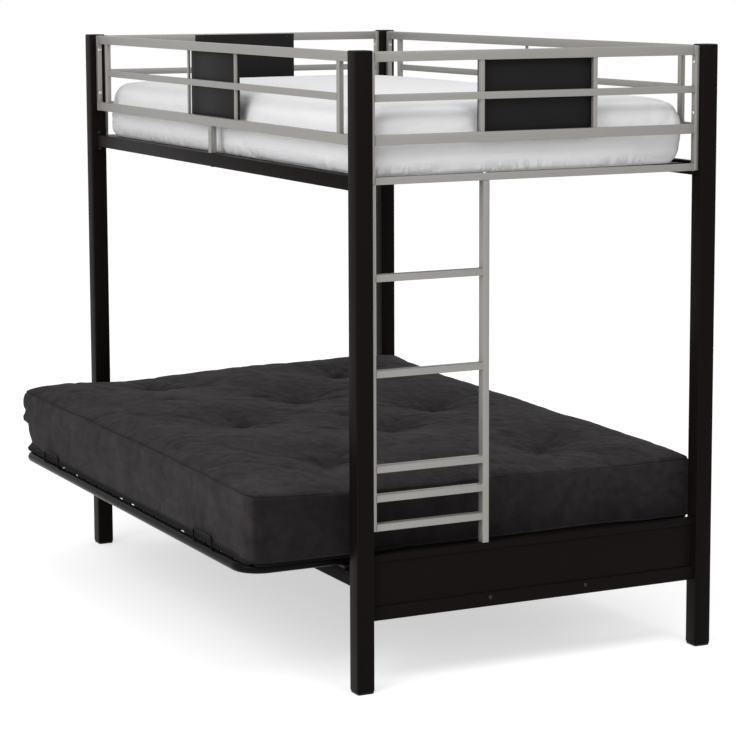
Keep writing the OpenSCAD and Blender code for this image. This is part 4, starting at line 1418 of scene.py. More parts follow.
@dataclass
class Fasteners:
    """The bolt and screw heads that show, with their recesses.

    A nut's profile is pairs of a height and a share of the bolt head's radius, and a ladder
    screw sits at a share of the way from its rung to the next one down.
    """

    bunk: Bunk
    ladder: Ladder
    lower: LowerFrame
    head_gap: float = 0.001
    lower_rise: float = 0.018
    end_bolt_in: float = 0.004
    guide_bolt_y: float = 0.148
    guide_bolt_rise: float = 0.025
    guide_gap: float = 0.022
    shank_r: float = 0.003
    shank_past: float = 0.0045
    nut: tuple[Pair, ...] = (
        (0.0, 0.92), (0.0006, 1.0), (0.0044, 1.0), (0.005, 0.9),
    )
    deck_l: float = 1.786
    screw_shares: tuple[float, ...] = (0.46, 0.32, 0.338)
    panel_w: float = 0.356
    panel_screw_in: float = 0.026
    panel_t: float = 0.002

    def on_posts(
        self, heights: Sequence[float], seat: float, along_y: bool = False, inwards: float = 0.0
    ) -> Form:
        """Return heads on the posts' inner faces.

        Args:
            heights: Heights of the bolts.
            seat: Thickness of the piece under the heads.
            along_y: True for the faces across Y, False for those across X.
            inwards: Distance of the bolts across Y from the posts' middle, towards the bed.
        """
        bunk, form = self.bunk, Form()
        for sx, sy in CORNERS:
            for z in heights:
                if along_y:
                    x, y = bunk.post_x - inwards, bunk.inner_y - seat
                    way = (0, -sy, 0)
                else:
                    x, y = bunk.inner_x - seat, bunk.post_y
                    way = (-sx, 0, 0)
                place = (sx * x, bunk.middle_y + sy * y, z)
                form.fastener(place, way, bunk.bolt_r, bunk.bolt_h)
        return form

    def build(self) -> None:
        """Build all the fasteners of the fixed frame."""
        bunk, lower = self.bunk, self.lower
        rise = bunk.bolt_r + self.head_gap
        side, stretch = (
            (low - rise, low + bunk.side_h + rise) for low in (bunk.side_z, lower.stretcher_z)
        )
        ends = (
            lower.bottom_z + lower.tube_h + self.lower_rise,
            lower.top_z - lower.cap_h - self.lower_rise,
        )
        end_frame = self.on_posts(bunk.guard_bolts, bunk.upright, True)
        lower_frame = self.on_posts(ends, bunk.plate_t, True, self.end_bolt_in)
        for name, form, finish in (
            ("guard_bolts", self.on_posts(bunk.guard_bolts, bunk.rail_t), ZINC),
            ("side_rail_bolts", self.on_posts(side, bunk.plate_t), BLACK_ZINC),
            ("stretcher_bolts", self.on_posts(stretch, bunk.plate_t), BLACK_ZINC),
            ("end_frame_bolts", end_frame, ZINC),
            ("lower_frame_bolts", lower_frame, BLACK_ZINC),
        ):
            form.piece(name + "_heads", Body.BUNK, finish, [name])
        self.guide_bolts()
        self.small_screws()

    def guide_bolts(self) -> None:
        """Build the bolts that hold the guide plates, with their shanks and nuts."""
        bunk, form = self.bunk, Form()
        z = self.lower.bottom_z + self.guide_bolt_rise
        face = bunk.post_x + self.lower.depth / 2
        inner = self.deck_l / 2 + self.guide_gap
        for sx, sy in CORNERS:
            y = bunk.middle_y + sy * self.guide_bolt_y
            form.fastener((sx * face, y, z), (sx, 0, 0), bunk.bolt_r, bunk.bolt_h)
            end = sx * (inner - self.shank_past)
            shank = [Vector((sx * face, y, z)), Vector((end, y, z))]
            form.tube(shank, self.shank_r, 16, ease=0.0004)
            form.lathe(
                (sx * inner, y, z),
                (-sx, 0, 0),
                [(h, bunk.bolt_r * r) for h, r in self.nut],
                24,
                lambda _, angle: 0.88 * hexagon(angle),
            )
        form.piece("guide_bolts_turned", Body.BUNK, BLACK_ZINC, ["guide_bolts"])

    def small_screws(self) -> None:
        """Build the screws of the ladder and the panels, and the upright bolts."""
        bunk, ladder = self.bunk, self.ladder
        start = bunk.middle_y - bunk.inner_y
        screws, bolts, panel, centre = Form(), Form(), Form(), Form()
        screw, bolt = (bunk.screw_r, bunk.screw_h, Drive.CROSS), (bunk.bolt_r, bunk.bolt_h)
        for z, under, share in zip(ladder.rungs, ladder.rungs[1:], self.screw_shares):
            place = (bunk.post_x, start + bunk.upright, z - share * (z - under))
            screws.fastener(place, (0, 1, 0), *screw)
        stile = start + ladder.width - ladder.stile / 2
        under = self.lower.top_z - self.lower.cap_h
        bolts.fastener((bunk.post_x, stile, bunk.rails[3][0]), (0, 0, 1), *bolt)
        bolts.fastener((bunk.post_x, stile, under), (0, 0, -1), *bolt)
        place_y = self.panel_w / 2 - self.panel_screw_in
        face = bunk.rail_t / 2 + self.panel_t
        for s in SIDES:
            for z in [z - h / 2 for z, h in (bunk.rails[0], bunk.rails[2])]:
                for sx in SIDES:
                    place = (sx * (bunk.post_x - face), bunk.middle_y + s * place_y, z)
                    panel.fastener(place, (-sx, 0, 0), *screw)
                place = (s * place_y, bunk.middle_y - bunk.post_y + face, z)
                panel.fastener(place, (0, 1, 0), *screw)
        for sy in SIDES:
            place = (0, bunk.middle_y + sy * bunk.post_y, bunk.side_z)
            centre.fastener(place, (0, 0, -1), *bolt)
        for name, form, finish in (
            ("ladder_screws", screws, ZINC),
            ("ladder_bolts", bolts, ZINC),
            ("panel_screws", panel, BLACK_ZINC),
            ("centre_post_bolts", centre, BLACK_ZINC),
        ):
            form.piece(name + "_heads", Body.BUNK, finish, [name])


# The futon's frame and motion


@dataclass
class FutonDeck:
    """One leaf of the futon frame, the seat or the back, with its wires."""

    body: Body
    side: int
    prefix: str
    length: float = 1.786
    depth: float = 0.684
    hinge_y: float = -0.0045
    axis_z: float = 0.34
    tube: float = 0.028
    corner: float = 0.066
    cross: float = 0.022
    cross_in: float = 0.04
    side_end: float = 0.026
    joint_x: float = -0.113
    joint_gap: float = 0.0004
    tube_ease: float = 0.0009
    cross_ease: float = 0.0008
    weld_in: float = 0.0006
    bead: float = 0.0018
    wire: float = 0.005
    cross_wire: float = 0.004
    wire_pitch: float = 0.094
    cross_wires: int = 5

    def at(self, x: float, reach: float, rise: float = 0.0) -> Vector:
        """Return a point given by its distance from the hinge along the leaf."""
        return Vector((x, self.hinge_y + self.side * reach, self.axis_z + rise))

    @property
    def side_x(self) -> float:
        """Distance of a side tube's middle from the bed's middle."""
        return self.length / 2 - self.tube / 2

    def half(self, sx: int) -> Form:
        """Build the bent tube, cross tube and side block of one half.

        Args:
            sx: 1 for the ladder end, -1 for the far end.
        """
        form = Form()
        edge = self.depth - self.tube / 2
        centre = self.at(sx * (self.side_x - self.corner), edge - self.corner)
        start = Vector((0, self.side * self.corner, 0))
        turn = -90 * sx * self.side
        bend = arc(centre, start, Vector((0, 0, 1)), turn, 14)
        joint, side_x = self.joint_x + sx * self.joint_gap, sx * self.side_x
        path = [self.at(joint, edge), *bend, self.at(side_x, self.side_end)]
        form.tube(path, self.tube / 2, 28, ease=self.tube_ease)
        rise = (self.tube - self.cross) / 2
        inner = [self.at(joint, self.cross_in, rise), self.at(side_x, self.cross_in, rise)]
        form.tube(inner, self.cross / 2, 24, ease=self.cross_ease)
        face = sx * (self.side_x - self.tube / 2 + self.weld_in)
        middle = self.at(face, self.cross_in, rise)
        round_it = arc(middle, Vector((0, self.cross / 2, 0)), Vector((1, 0, 0)), 360, 36)[:-1]
        form.tube(round_it, self.bead, 5, looped=True, swell=lambda i: 0.85 + 0.2 * (i % 2))
        return form

    def wires(self) -> None:
        """Build the welded wire mesh of the leaf."""
        lo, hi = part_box(self.prefix + "_wires")
        form = Form()
        count = round((hi.x - lo.x - self.wire) / self.wire_pitch) + 1
        top = hi.z - self.wire / 2
        for i in range(count):
            x = (i - (count - 1) / 2) * self.wire_pitch
            path = [Vector((x, lo.y, top)), Vector((x, hi.y, top))]
            form.tube(path, self.wire / 2, 10, ease=0.0012)
        under = lo.z + self.cross_wire / 2
        span = hi.y - lo.y
        for j in range(1, self.cross_wires + 1):
            y = lo.y + span * j / (self.cross_wires + 1)
            path = [Vector((lo.x, y, under)), Vector((hi.x, y, under))]
            form.tube(path, self.cross_wire / 2, 10, ease=0.001)
        form.piece(self.prefix + "_wires_welded", self.body, BLACK_PAINT, [self.prefix + "_wires"])


@dataclass
class Mechanism:
    """Hinge eyes, cranks, pins, rollers and the fixed guide plates."""

    block_l: float = 0.04
    block_h: float = 0.016
    eye_t: float = 0.004
    eye_r: float = 0.014
    eye_steps: int = 20
    eye_ease: float = 0.0006
    block_gap: float = 0.0003
    ease: float = 0.0004

    def eye(self, form: Form, deck: FutonDeck, sx: int) -> None:
        """Add the hinge eye that the seat's side block carries.

        Args:
            form: The half of the seat frame.
            deck: The seat.
            sx: 1 for the ladder end, -1 for the far end.
        """
        ease = self.eye_ease
        low, high = sorted((sx * deck.length / 2, sx * (deck.length / 2 + self.eye_t)))
        reach = deck.side_end + self.block_l
        outline = [(-reach, -self.block_h / 2), (-reach, self.block_h / 2)]
        spread = math.pi - math.asin(self.block_h / 2 / self.eye_r)
        for i in range(self.eye_steps + 1):
            angle = spread - 2 * spread * i / self.eye_steps
            outline.append((self.eye_r * math.cos(angle), self.eye_r * math.sin(angle)))
        rings = []
        for x, inset in ((low, ease), (low + ease, 0), (high - ease, 0), (high, ease)):
            shrink = 1 - inset / self.eye_r
            rings.append([deck.at(x, -a * shrink, b * shrink) for a, b in outline])
        form.skin(rings)

    def block(self, form: Form, deck: FutonDeck, sx: int, out: float) -> None:
        """Add the block on a side tube that carries the hinge plate.

        Args:
            form: The half of the deck's frame.
            deck: The deck.
            sx: 1 for the ladder end, -1 for the far end.
            out: How far the block stands out of the tube.
        """
        inner, outer = sx * (deck.length / 2 - deck.tube / 4), sx * (deck.length / 2 + out)
        form.bar(
            deck.at(inner, deck.side_end, -self.block_h / 2),
            deck.at(outer, deck.side_end + self.block_l, self.block_h / 2),
        )

    def build(self, seat: FutonDeck, back: FutonDeck) -> None:
        """Build both decks' frames and everything that guides them.

        Args:
            seat: The seat's deck.
            back: The back's deck.
        """
        for deck in (seat, back):
            for sx, end in ENDS:
                form = deck.half(sx)
                if deck is seat:
                    self.block(form, deck, sx, 0)
                    self.eye(form, deck, sx)
                else:
                    self.block(form, deck, sx, self.eye_t + self.block_gap)
                node = f"{deck.prefix}_frame_{end}"
                form.piece(node + "_bent", deck.body, FUTON_PAINT, [node])
            deck.wires()
        for node, body, finish in (
            ("guide_plate_ladder", Body.BUNK, BLACK_PAINT),
            ("guide_plate_far", Body.BUNK, BLACK_PAINT),
            ("guide_spacers", Body.BUNK, ZINC),
            ("crank_plates", Body.BACK, BLACK_PAINT),
            ("crank_pins", Body.BACK, ZINC),
            ("crank_rollers", Body.BACK, BLACK_PLASTIC),
            ("hinge_pins", Body.SEAT, ZINC),
            ("seat_rollers", Body.SEAT, BLACK_PLASTIC),
        ):
            form = Form()
            form.copy_node(node, self.ease)
            form.piece(node + "_eased", body, finish, [node])


@dataclass
class MattressStops:
    """The bent wire loops that keep the mattress on the seat."""

    seat: FutonDeck
    width: float = STOP_WIDTH
    bend: float = 0.009

    def build(self) -> None:
        """Build both loops."""
        lo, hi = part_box("mattress_stops")
        radius = self.seat.wire / 2
        y = (lo.y + hi.y) / 2
        top = hi.z - radius
        form = Form()
        for middle in (lo.x + self.width / 2, hi.x - self.width / 2):
            reach = self.width / 2 - radius
            path = [Vector((middle - reach, y, lo.z))]
            for sx in SIDES:
                centre = Vector((middle + sx * (reach - self.bend), y, top - self.bend))
                start = Vector((sx * self.bend, 0, 0)) if sx < 0 else Vector((0, 0, self.bend))
                path += arc(centre, start, Vector((0, 1, 0)), 90, 8)
            path.append(Vector((middle + reach, y, lo.z)))
            form.tube(path, radius, 12, ease=0.0006)
        form.piece("mattress_stops_bent", Body.SEAT, BLACK_PAINT, ["mattress_stops"])


# Mattresses


# From here on a share of the band's height, or a mark on a seam, counts as whole
FULL = 0.999


def read(items: bpy.types.bpy_prop_collection, key: str, size: int = 3) -> np.ndarray:
    """Return one property of all items.

    Args:
        items: A mesh's points or the values of an attribute.
        key: The property's name.
        size: How many numbers it has.
    """
    out = np.empty(len(items) * size, np.float32)
    items.foreach_get(key, out)
    return (out if size == 1 else out.reshape(-1, size)).astype(float)


def coordinates_of(data: bpy.types.Mesh) -> np.ndarray:
    """Return the coordinates of a mesh's points."""
    return read(data.vertices, "co")


def normals_of(data: bpy.types.Mesh) -> np.ndarray:
    """Return the normals of a mesh's points."""
    return read(data.vertices, "normal")


def values_of(data: bpy.types.Mesh, label: str) -> np.ndarray:
    """Return a number attribute of a mesh's points."""
    return read(data.attributes[label].data, "value", 1)


def rest_of(data: bpy.types.Mesh) -> np.ndarray:
    """Return the rest places of a mesh's points."""
    return read(data.attributes["rest_place"].data, "vector")


def set_values(data: bpy.types.Mesh, label: str, values: np.ndarray) -> None:
    """Give a mesh's points an attribute of numbers or of vectors.

    Args:
        data: The mesh.
        label: The attribute's name.
        values: A number or three for each point.
    """
    kind, key = ("FLOAT", "value") if values.ndim == 1 else ("FLOAT_VECTOR", "vector")
    attribute = data.attributes.new(label, kind, "POINT")
    attribute.data.foreach_set(key, values.astype(np.float32).ravel())


def store(data: bpy.types.Mesh, co: np.ndarray) -> None:
    """Give a mesh new coordinates."""
    data.vertices.foreach_set("co", co.astype(np.float32).ravel())
    data.update()


def bell(values: np.ndarray, width: float, middle: float = 0.0) -> np.ndarray:
    """Return a bell that is 1 at the middle and falls away on both sides.

    Args:
        values: Where to take it.
        width: Distance from the middle at which it has fallen to 0.37.
        middle: Where it is 1.
    """
    return np.exp(-(((values - middle) / width) ** 2))


def slope(values: np.ndarray, start: float, end: float) -> np.ndarray:
    """Return 0 up to the start, 1 from the end on and an even rise between them."""
    return np.clip((values - start) / (end - start), 0, 1)


def noise_at(points: np.ndarray, scale: Sequence[float], shift: float = 0.0) -> np.ndarray:
    """Sample smooth noise.

    Args:
        points: Where to sample it.
        scale: Features per metre along each axis.
        shift: Offset that picks another part of the noise.

    Returns:
        Values from about -1 to 1.
    """
    places = points * np.array(scale) + shift
    return np.array([noise.noise(Vector(p)) for p in places])


@dataclass(frozen=True)
class Ripple:
    """A layer of smooth noise on a cover.

    Attributes:
        depth: How high its waves or how deep its valleys are.
        scale: Features per metre along each axis.
        shift: Offset that picks another part of the noise.
        crease: 0 for waves; for narrow valleys where the noise changes its sign, their width.
    """

    depth: float
    scale: Triple
    shift: float
    crease: float = 0.0

    def lift(self, points: np.ndarray) -> np.ndarray:
        """Return how far the ripple lifts each point."""
        values = noise_at(points, self.scale, self.shift)
        return -self.depth * bell(values, self.crease) if self.crease else self.depth * values


def lifted(points: np.ndarray, ripples: Iterable[Ripple]) -> np.ndarray:
    """Return how far several ripples lift each point together."""
    return sum(ripple.lift(points) for ripple in ripples)


@dataclass(frozen=True)
class Mattress:
    """A stuffed mattress: a top, a side band and an underside, as one closed grid.

    The height is the band's, and the top rises above it by the crown, which falls away the
    later the larger its powers are; near_power is for the ladder's end. The sides' middles
    draw in by draw, less below draw_from, a share of the band's height. back_corner is the
    back corners' radius as a share of the others'. The rows give shares of the height and
    of the bulge, edge_rows are distances of the outer grid lines from the edge, and the
    tufts' places go from -1 to 1. A tuft's dip has a wide part, tuft_soft of it, and a
    narrow one, tuft_tight of it, that reaches tuft_core as far.
    """

    length: float
    width: float
    height: float
    crown: float
    corner: float
    low_corner: float
    draw: float
    bulge: float
    base_z: float
    centre_y: float
    near_power: float
    rows: tuple[Pair, ...]
    pitch: float = 0.0155
    crown_power: float = 8.0
    back_corner: float = 1.0
    draw_from: float = 0.2
    seam_row: int = 0
    edge_rows: tuple[float, ...] = (0.0, 0.006, 0.014, 0.026)
    tufts: tuple[Pair, ...] = ()
    tuft_dip: float = 0.0
    tuft_spread: float = 0.15
    tuft_core: float = 0.15
    tuft_soft: float = 0.55
    tuft_tight: float = 0.45

    def stations(self, extent: float) -> np.ndarray:
        """Return grid places from -1 to 1, closer together beside the edges."""
        half = extent / 2
        inner = half - self.edge_rows[-1]
        middle = np.linspace(-inner, inner, max(2, round(2 * inner / self.pitch)) + 1)
        edges = half - np.array(self.edge_rows[:-1])
        return np.concatenate([-edges, middle, edges[::-1]]) / half

    def plan(self, u: np.ndarray, v: np.ndarray, share: float, inset: float) -> np.ndarray:
        """Map grid places to the plan, whose sides draw in and whose corners are round.

        Args:
            u: Places along the length, from -1 to 1.
            v: Places along the depth, from -1 to 1.
            share: Height on the band, from 0 at the underside to 1 at the top.
            inset: How far the outline lies inside the widest one.

        Returns:
            X and Y of each place.
        """
        corner = self.low_corner + share * (self.corner - self.low_corner)
        corner = np.where(v > 0, self.back_corner * corner, corner)
        draw = self.draw * min(1.0, share / self.draw_from)
        sx = self.length / 2 - inset - draw * (1 - v * v)
        sy = self.width / 2 - inset - draw * (1 - u * u)
        px, py = np.abs(u) * sx, np.abs(v) * sy
        ax, ay = (px - sx) / corner + 1, (py - sy) / corner + 1
        turn = (ax > 0) & (ay > 0)
        ca, cb = np.where(turn, ax, 0), np.where(turn, ay, 0)
        px = np.where(turn, sx + corner * (ca * np.sqrt(1 - cb * cb / 2) - 1), px)
        py = np.where(turn, sy + corner * (cb * np.sqrt(1 - ca * ca / 2) - 1), py)
        return np.stack([np.sign(u) * px, np.sign(v) * py], -1)

    def tuft_places(self) -> np.ndarray:
        """Return X and Y of each tuft in the frame's coordinates."""
        half = np.array([self.length / 2, self.width / 2])
        places = np.array(self.tufts).reshape(-1, 2) * half
        return places + np.array([0.0, self.centre_y])

    def from_corner(self, rest: np.ndarray, sx: int, sy: int) -> tuple[np.ndarray, np.ndarray]:
        """Return how far points lie from a corner along X and along Y.

        Args:
            rest: Rest places of the points.
            sx: 1 for the ladder end, -1 for the far end.
            sy: 1 for the back, -1 for the front.
        """
        dx = rest[:, 0] - sx * self.length / 2
        return dx, rest[:, 1] - (self.centre_y + sy * self.width / 2)

    def mesh(self, name: str) -> bpy.types.Mesh:
        """Make the closed grid.

        Args:
            name: The mesh's name.

        Returns:
            The mesh, with the attributes rest_place, seam_way (distance from the nearer
            seam), band_height (0 at the underside, 1 at the top), top_seam and low_seam.
        """
        us, vs = self.stations(self.length), self.stations(self.width)
        nu, nv = len(us), len(vs)
        u, v = np.meshgrid(us, vs)
        power = self.crown_power
        near_end = 1 - np.abs(u) ** self.near_power
        ends = np.where(u > 0, near_end, np.sqrt(1 - np.abs(u) ** power))
        rise = self.crown * ends * np.sqrt(1 - np.abs(v) ** power)
        top = self.plan(u, v, 1.0, self.bulge * self.rows[-1][1])
        low = self.plan(u, v, 0.0, self.bulge * self.rows[0][1])
        points = [
            np.dstack([top, self.base_z + self.height + rise]).reshape(-1, 3),
            np.dstack([low, np.full_like(u, self.base_z)]).reshape(-1, 3),
        ]
        rim = (
            [(0, i) for i in range(nu - 1)]
            + [(j, nu - 1) for j in range(nv - 1)]
            + [(nv - 1, nu - 1 - i) for i in range(nu - 1)]
            + [(nv - 1 - j, 0) for j in range(nv - 1)]
        )
        rj, ri = np.array(rim).T
        count = len(rim)
        way_u = (1 - np.abs(u)) * self.length / 2
        way_v = (1 - np.abs(v)) * self.width / 2
        flat_way = np.minimum(way_u, way_v).reshape(-1)
        seam_share = self.rows[self.seam_row][0]
        ways = [flat_way, flat_way + seam_share * self.height]
        heights = [np.ones(nu * nv), np.zeros(nu * nv)]
        for share, inset in self.rows[1:-1]:
            ring = self.plan(us[ri], vs[rj], share, self.bulge * inset)
            level = np.full(count, self.base_z + share * self.height)
            points.append(np.column_stack([ring, level]))
            ways.append(np.full(count, min(abs(share - seam_share), 1 - share) * self.height))
            heights.append(np.full(count, share))
        coordinates = np.concatenate(points)
        coordinates[:, 1] += self.centre_y
        shift, start = nu * nv, 2 * nu * nv
        faces = []
        for j in range(nv - 1):
            for i in range(nu - 1):
                a, b = j * nu + i, j * nu + i + 1
                c, d = b + nu, a + nu
                faces.append((a, b, c, d))
                faces.append((a + shift, d + shift, c + shift, b + shift))
        loops = [(shift + rj * nu + ri).tolist()]
        for k in range(len(self.rows) - 2):
            loops.append(list(range(start + k * count, start + (k + 1) * count)))
        loops.append((rj * nu + ri).tolist())
        for lower, upper in zip(loops, loops[1:]):
            for i in range(count):
                j = (i + 1) % count
                faces.append((lower[i], lower[j], upper[j], upper[i]))
        data = bpy.data.meshes.new(name)
        data.from_pydata(coordinates.tolist(), [], faces)
        on_top, on_low = np.zeros(len(coordinates)), np.zeros(len(coordinates))
        on_top[loops[-1]], on_low[loops[self.seam_row]] = 1.0, 1.0
        for label, values in (
            ("seam_way", np.concatenate(ways)),
            ("band_height", np.concatenate(heights)),
            ("top_seam", on_top),
            ("low_seam", on_low),
            ("rest_place", coordinates),
        ):
            set_values(data, label, values)
        return data

    def dip_tufts(self, data: bpy.types.Mesh) -> None:
        """Draw the top down at the tufts."""
        co = coordinates_of(data)
        on_top = values_of(data, "band_height") > FULL
        for x, y in self.tuft_places():
            away = np.hypot(co[:, 0] - x, co[:, 1] - y)
            soft = self.tuft_soft * bell(away, self.tuft_spread)
            tight = self.tuft_tight * bell(away, self.tuft_core * self.tuft_spread)
            co[on_top, 2] -= self.tuft_dip * (soft + tight)[on_top]
        store(data, co)


@dataclass(frozen=True)
class Inflation:
    """A short cloth simulation that fills a mattress out."""

    pressure: float = 4.0
    frames: int = 20
    cap: float = 0.009
    mass: float = 0.3
    quality: int = 6
    stiffness: float = 12.0
    shear_share: float = 0.4
    bending: float = 2.0

    def run(self, data: bpy.types.Mesh, held: np.ndarray) -> None:
        """Blow up the mesh as cloth and keep the result.

        Args:
            data: The mesh, which gets the new coordinates.
            held: How firmly each point is held, from 0 to 1.
        """
        obj = bpy.data.objects.new("inflating", data)
        scene = bpy.context.scene
        link(obj)
        group = obj.vertex_groups.new(name="held")
        levels = np.round(held, 2)
        for level in np.unique(levels):
            if level > 0:
                group.add(np.nonzero(levels == level)[0].tolist(), float(level), "REPLACE")
        modifier = obj.modifiers.new("filling", "CLOTH")
        cloth = modifier.settings
        cloth.quality = self.quality
        cloth.mass = self.mass
        cloth.tension_stiffness = self.stiffness
        cloth.compression_stiffness = self.stiffness
        cloth.shear_stiffness = self.shear_share * self.stiffness
        cloth.bending_stiffness = self.bending
        cloth.vertex_group_mass = "held"
        cloth.use_pressure = True
        cloth.uniform_pressure_force = self.pressure
        cloth.effector_weights.gravity = 0
        modifier.collision_settings.use_collision = False
        modifier.point_cache.frame_start = 1
        modifier.point_cache.frame_end = self.frames
        for number in range(1, self.frames + 1):
            scene.frame_set(number)
        graph = bpy.context.evaluated_depsgraph_get()
        shaped = coordinates_of(obj.evaluated_get(graph).data)
        start = coordinates_of(data)
        moved = shaped - start
        length = np.linalg.norm(moved, axis=1, keepdims=True)
        LOG.info("cloth moved by %.1f mm at most", 1000 * float(length.max()))
        limit = self.cap * np.tanh(length / self.cap) / np.maximum(length, 1e-9)
        store(data, start + moved * limit)
        scene.frame_set(1)
        bpy.data.objects.remove(obj)


def refined(data: bpy.types.Mesh) -> bpy.types.Mesh:
    """Return a mesh with one smooth subdivision, attributes kept."""
    obj = bpy.data.objects.new("refining", data)
    link(obj)
    modifier = obj.modifiers.new("smooth", "SUBSURF")
    modifier.levels = 1
    modifier.render_levels = 1
    graph = bpy.context.evaluated_depsgraph_get()
    fine = bpy.data.meshes.new_from_object(
        obj.evaluated_get(graph), preserve_all_data_layers=True, depsgraph=graph
    )
    bpy.data.objects.remove(obj)
    for polygon in fine.polygons:
        polygon.use_smooth = True
    return fine


def seam_loop(data: bpy.types.Mesh, label: str) -> list[int]:
    """Return the points of a seam in order.

    Args:
        data: The mesh.
        label: Its attribute that is 1 on the seam.
    """
    on_seam = values_of(data, label) > FULL
    links: dict[int, list[int]] = {}
    for edge in data.edges:
        a, b = edge.vertices
        if on_seam[a] and on_seam[b]:
            links.setdefault(a, []).append(b)
            links.setdefault(b, []).append(a)
    start = min(links)
    loop, last, here = [start], -1, start
    while True:
        onward = [n for n in links[here] if n != last]
        last, here = here, onward[0]
        if here == start:
            return loop
        loop.append(here)


@dataclass(frozen=True)
class TuftFolds:
    """The long creases that run out from a mattress's tufts.

    They fade within the eye and with the reach, and are left out below least, a share of
    the depth. The warp bends them, and the twist changes them on their way out. The scales
    and widths are those of the broad and of the fine ones, and apart is what tells one
    tuft's noise from the next one's.
    """

    depth: float = 0.0066
    reach: float = 0.13
    eye: float = 0.025
    least: float = 0.03
    warp: Ripple = Ripple(0.5, (7, 7, 1), 41.0)
    twist: float = 1.5
    broad: Triple = (1.7, 1.7, 1.0)
    fine: Triple = (3.6, 3.6, 1.6)
    fine_shift: float = 9.0
    fine_share: float = 0.6
    widths: Pair = (0.07, 0.09)
    swell: float = 0.5
    apart: float = 5.0

    def lift(self, rest: np.ndarray, top: np.ndarray, places: np.ndarray) -> np.ndarray:
        """Return how far the folds lift each point.

        Args:
            rest: Rest places of the points.
            top: 1 on the top, 0 elsewhere.
            places: X and Y of the tufts.
        """
        total = np.zeros(len(rest))
        warp = self.warp.lift(rest)
        for number, (x, y) in enumerate(places):
            dx, dy = rest[:, 0] - x, rest[:, 1] - y
            away = np.hypot(dx, dy)
            near = top * np.exp(-away / self.reach) * slope(away, 0, self.eye)
            mask = near > self.least
            turn = np.arctan2(dy, dx)
            way = [np.cos(turn), np.sin(turn), self.twist * away + warp]
            round_it = np.column_stack(way)[mask]
            shift = self.apart * number
            broad = noise_at(round_it, self.broad, shift)
            fine = bell(noise_at(round_it, self.fine, self.fine_shift + shift), self.widths[1])
            folds = self.swell * broad - bell(broad, self.widths[0]) - self.fine_share * fine
            total[mask] += self.depth * near[mask] * folds
        return total


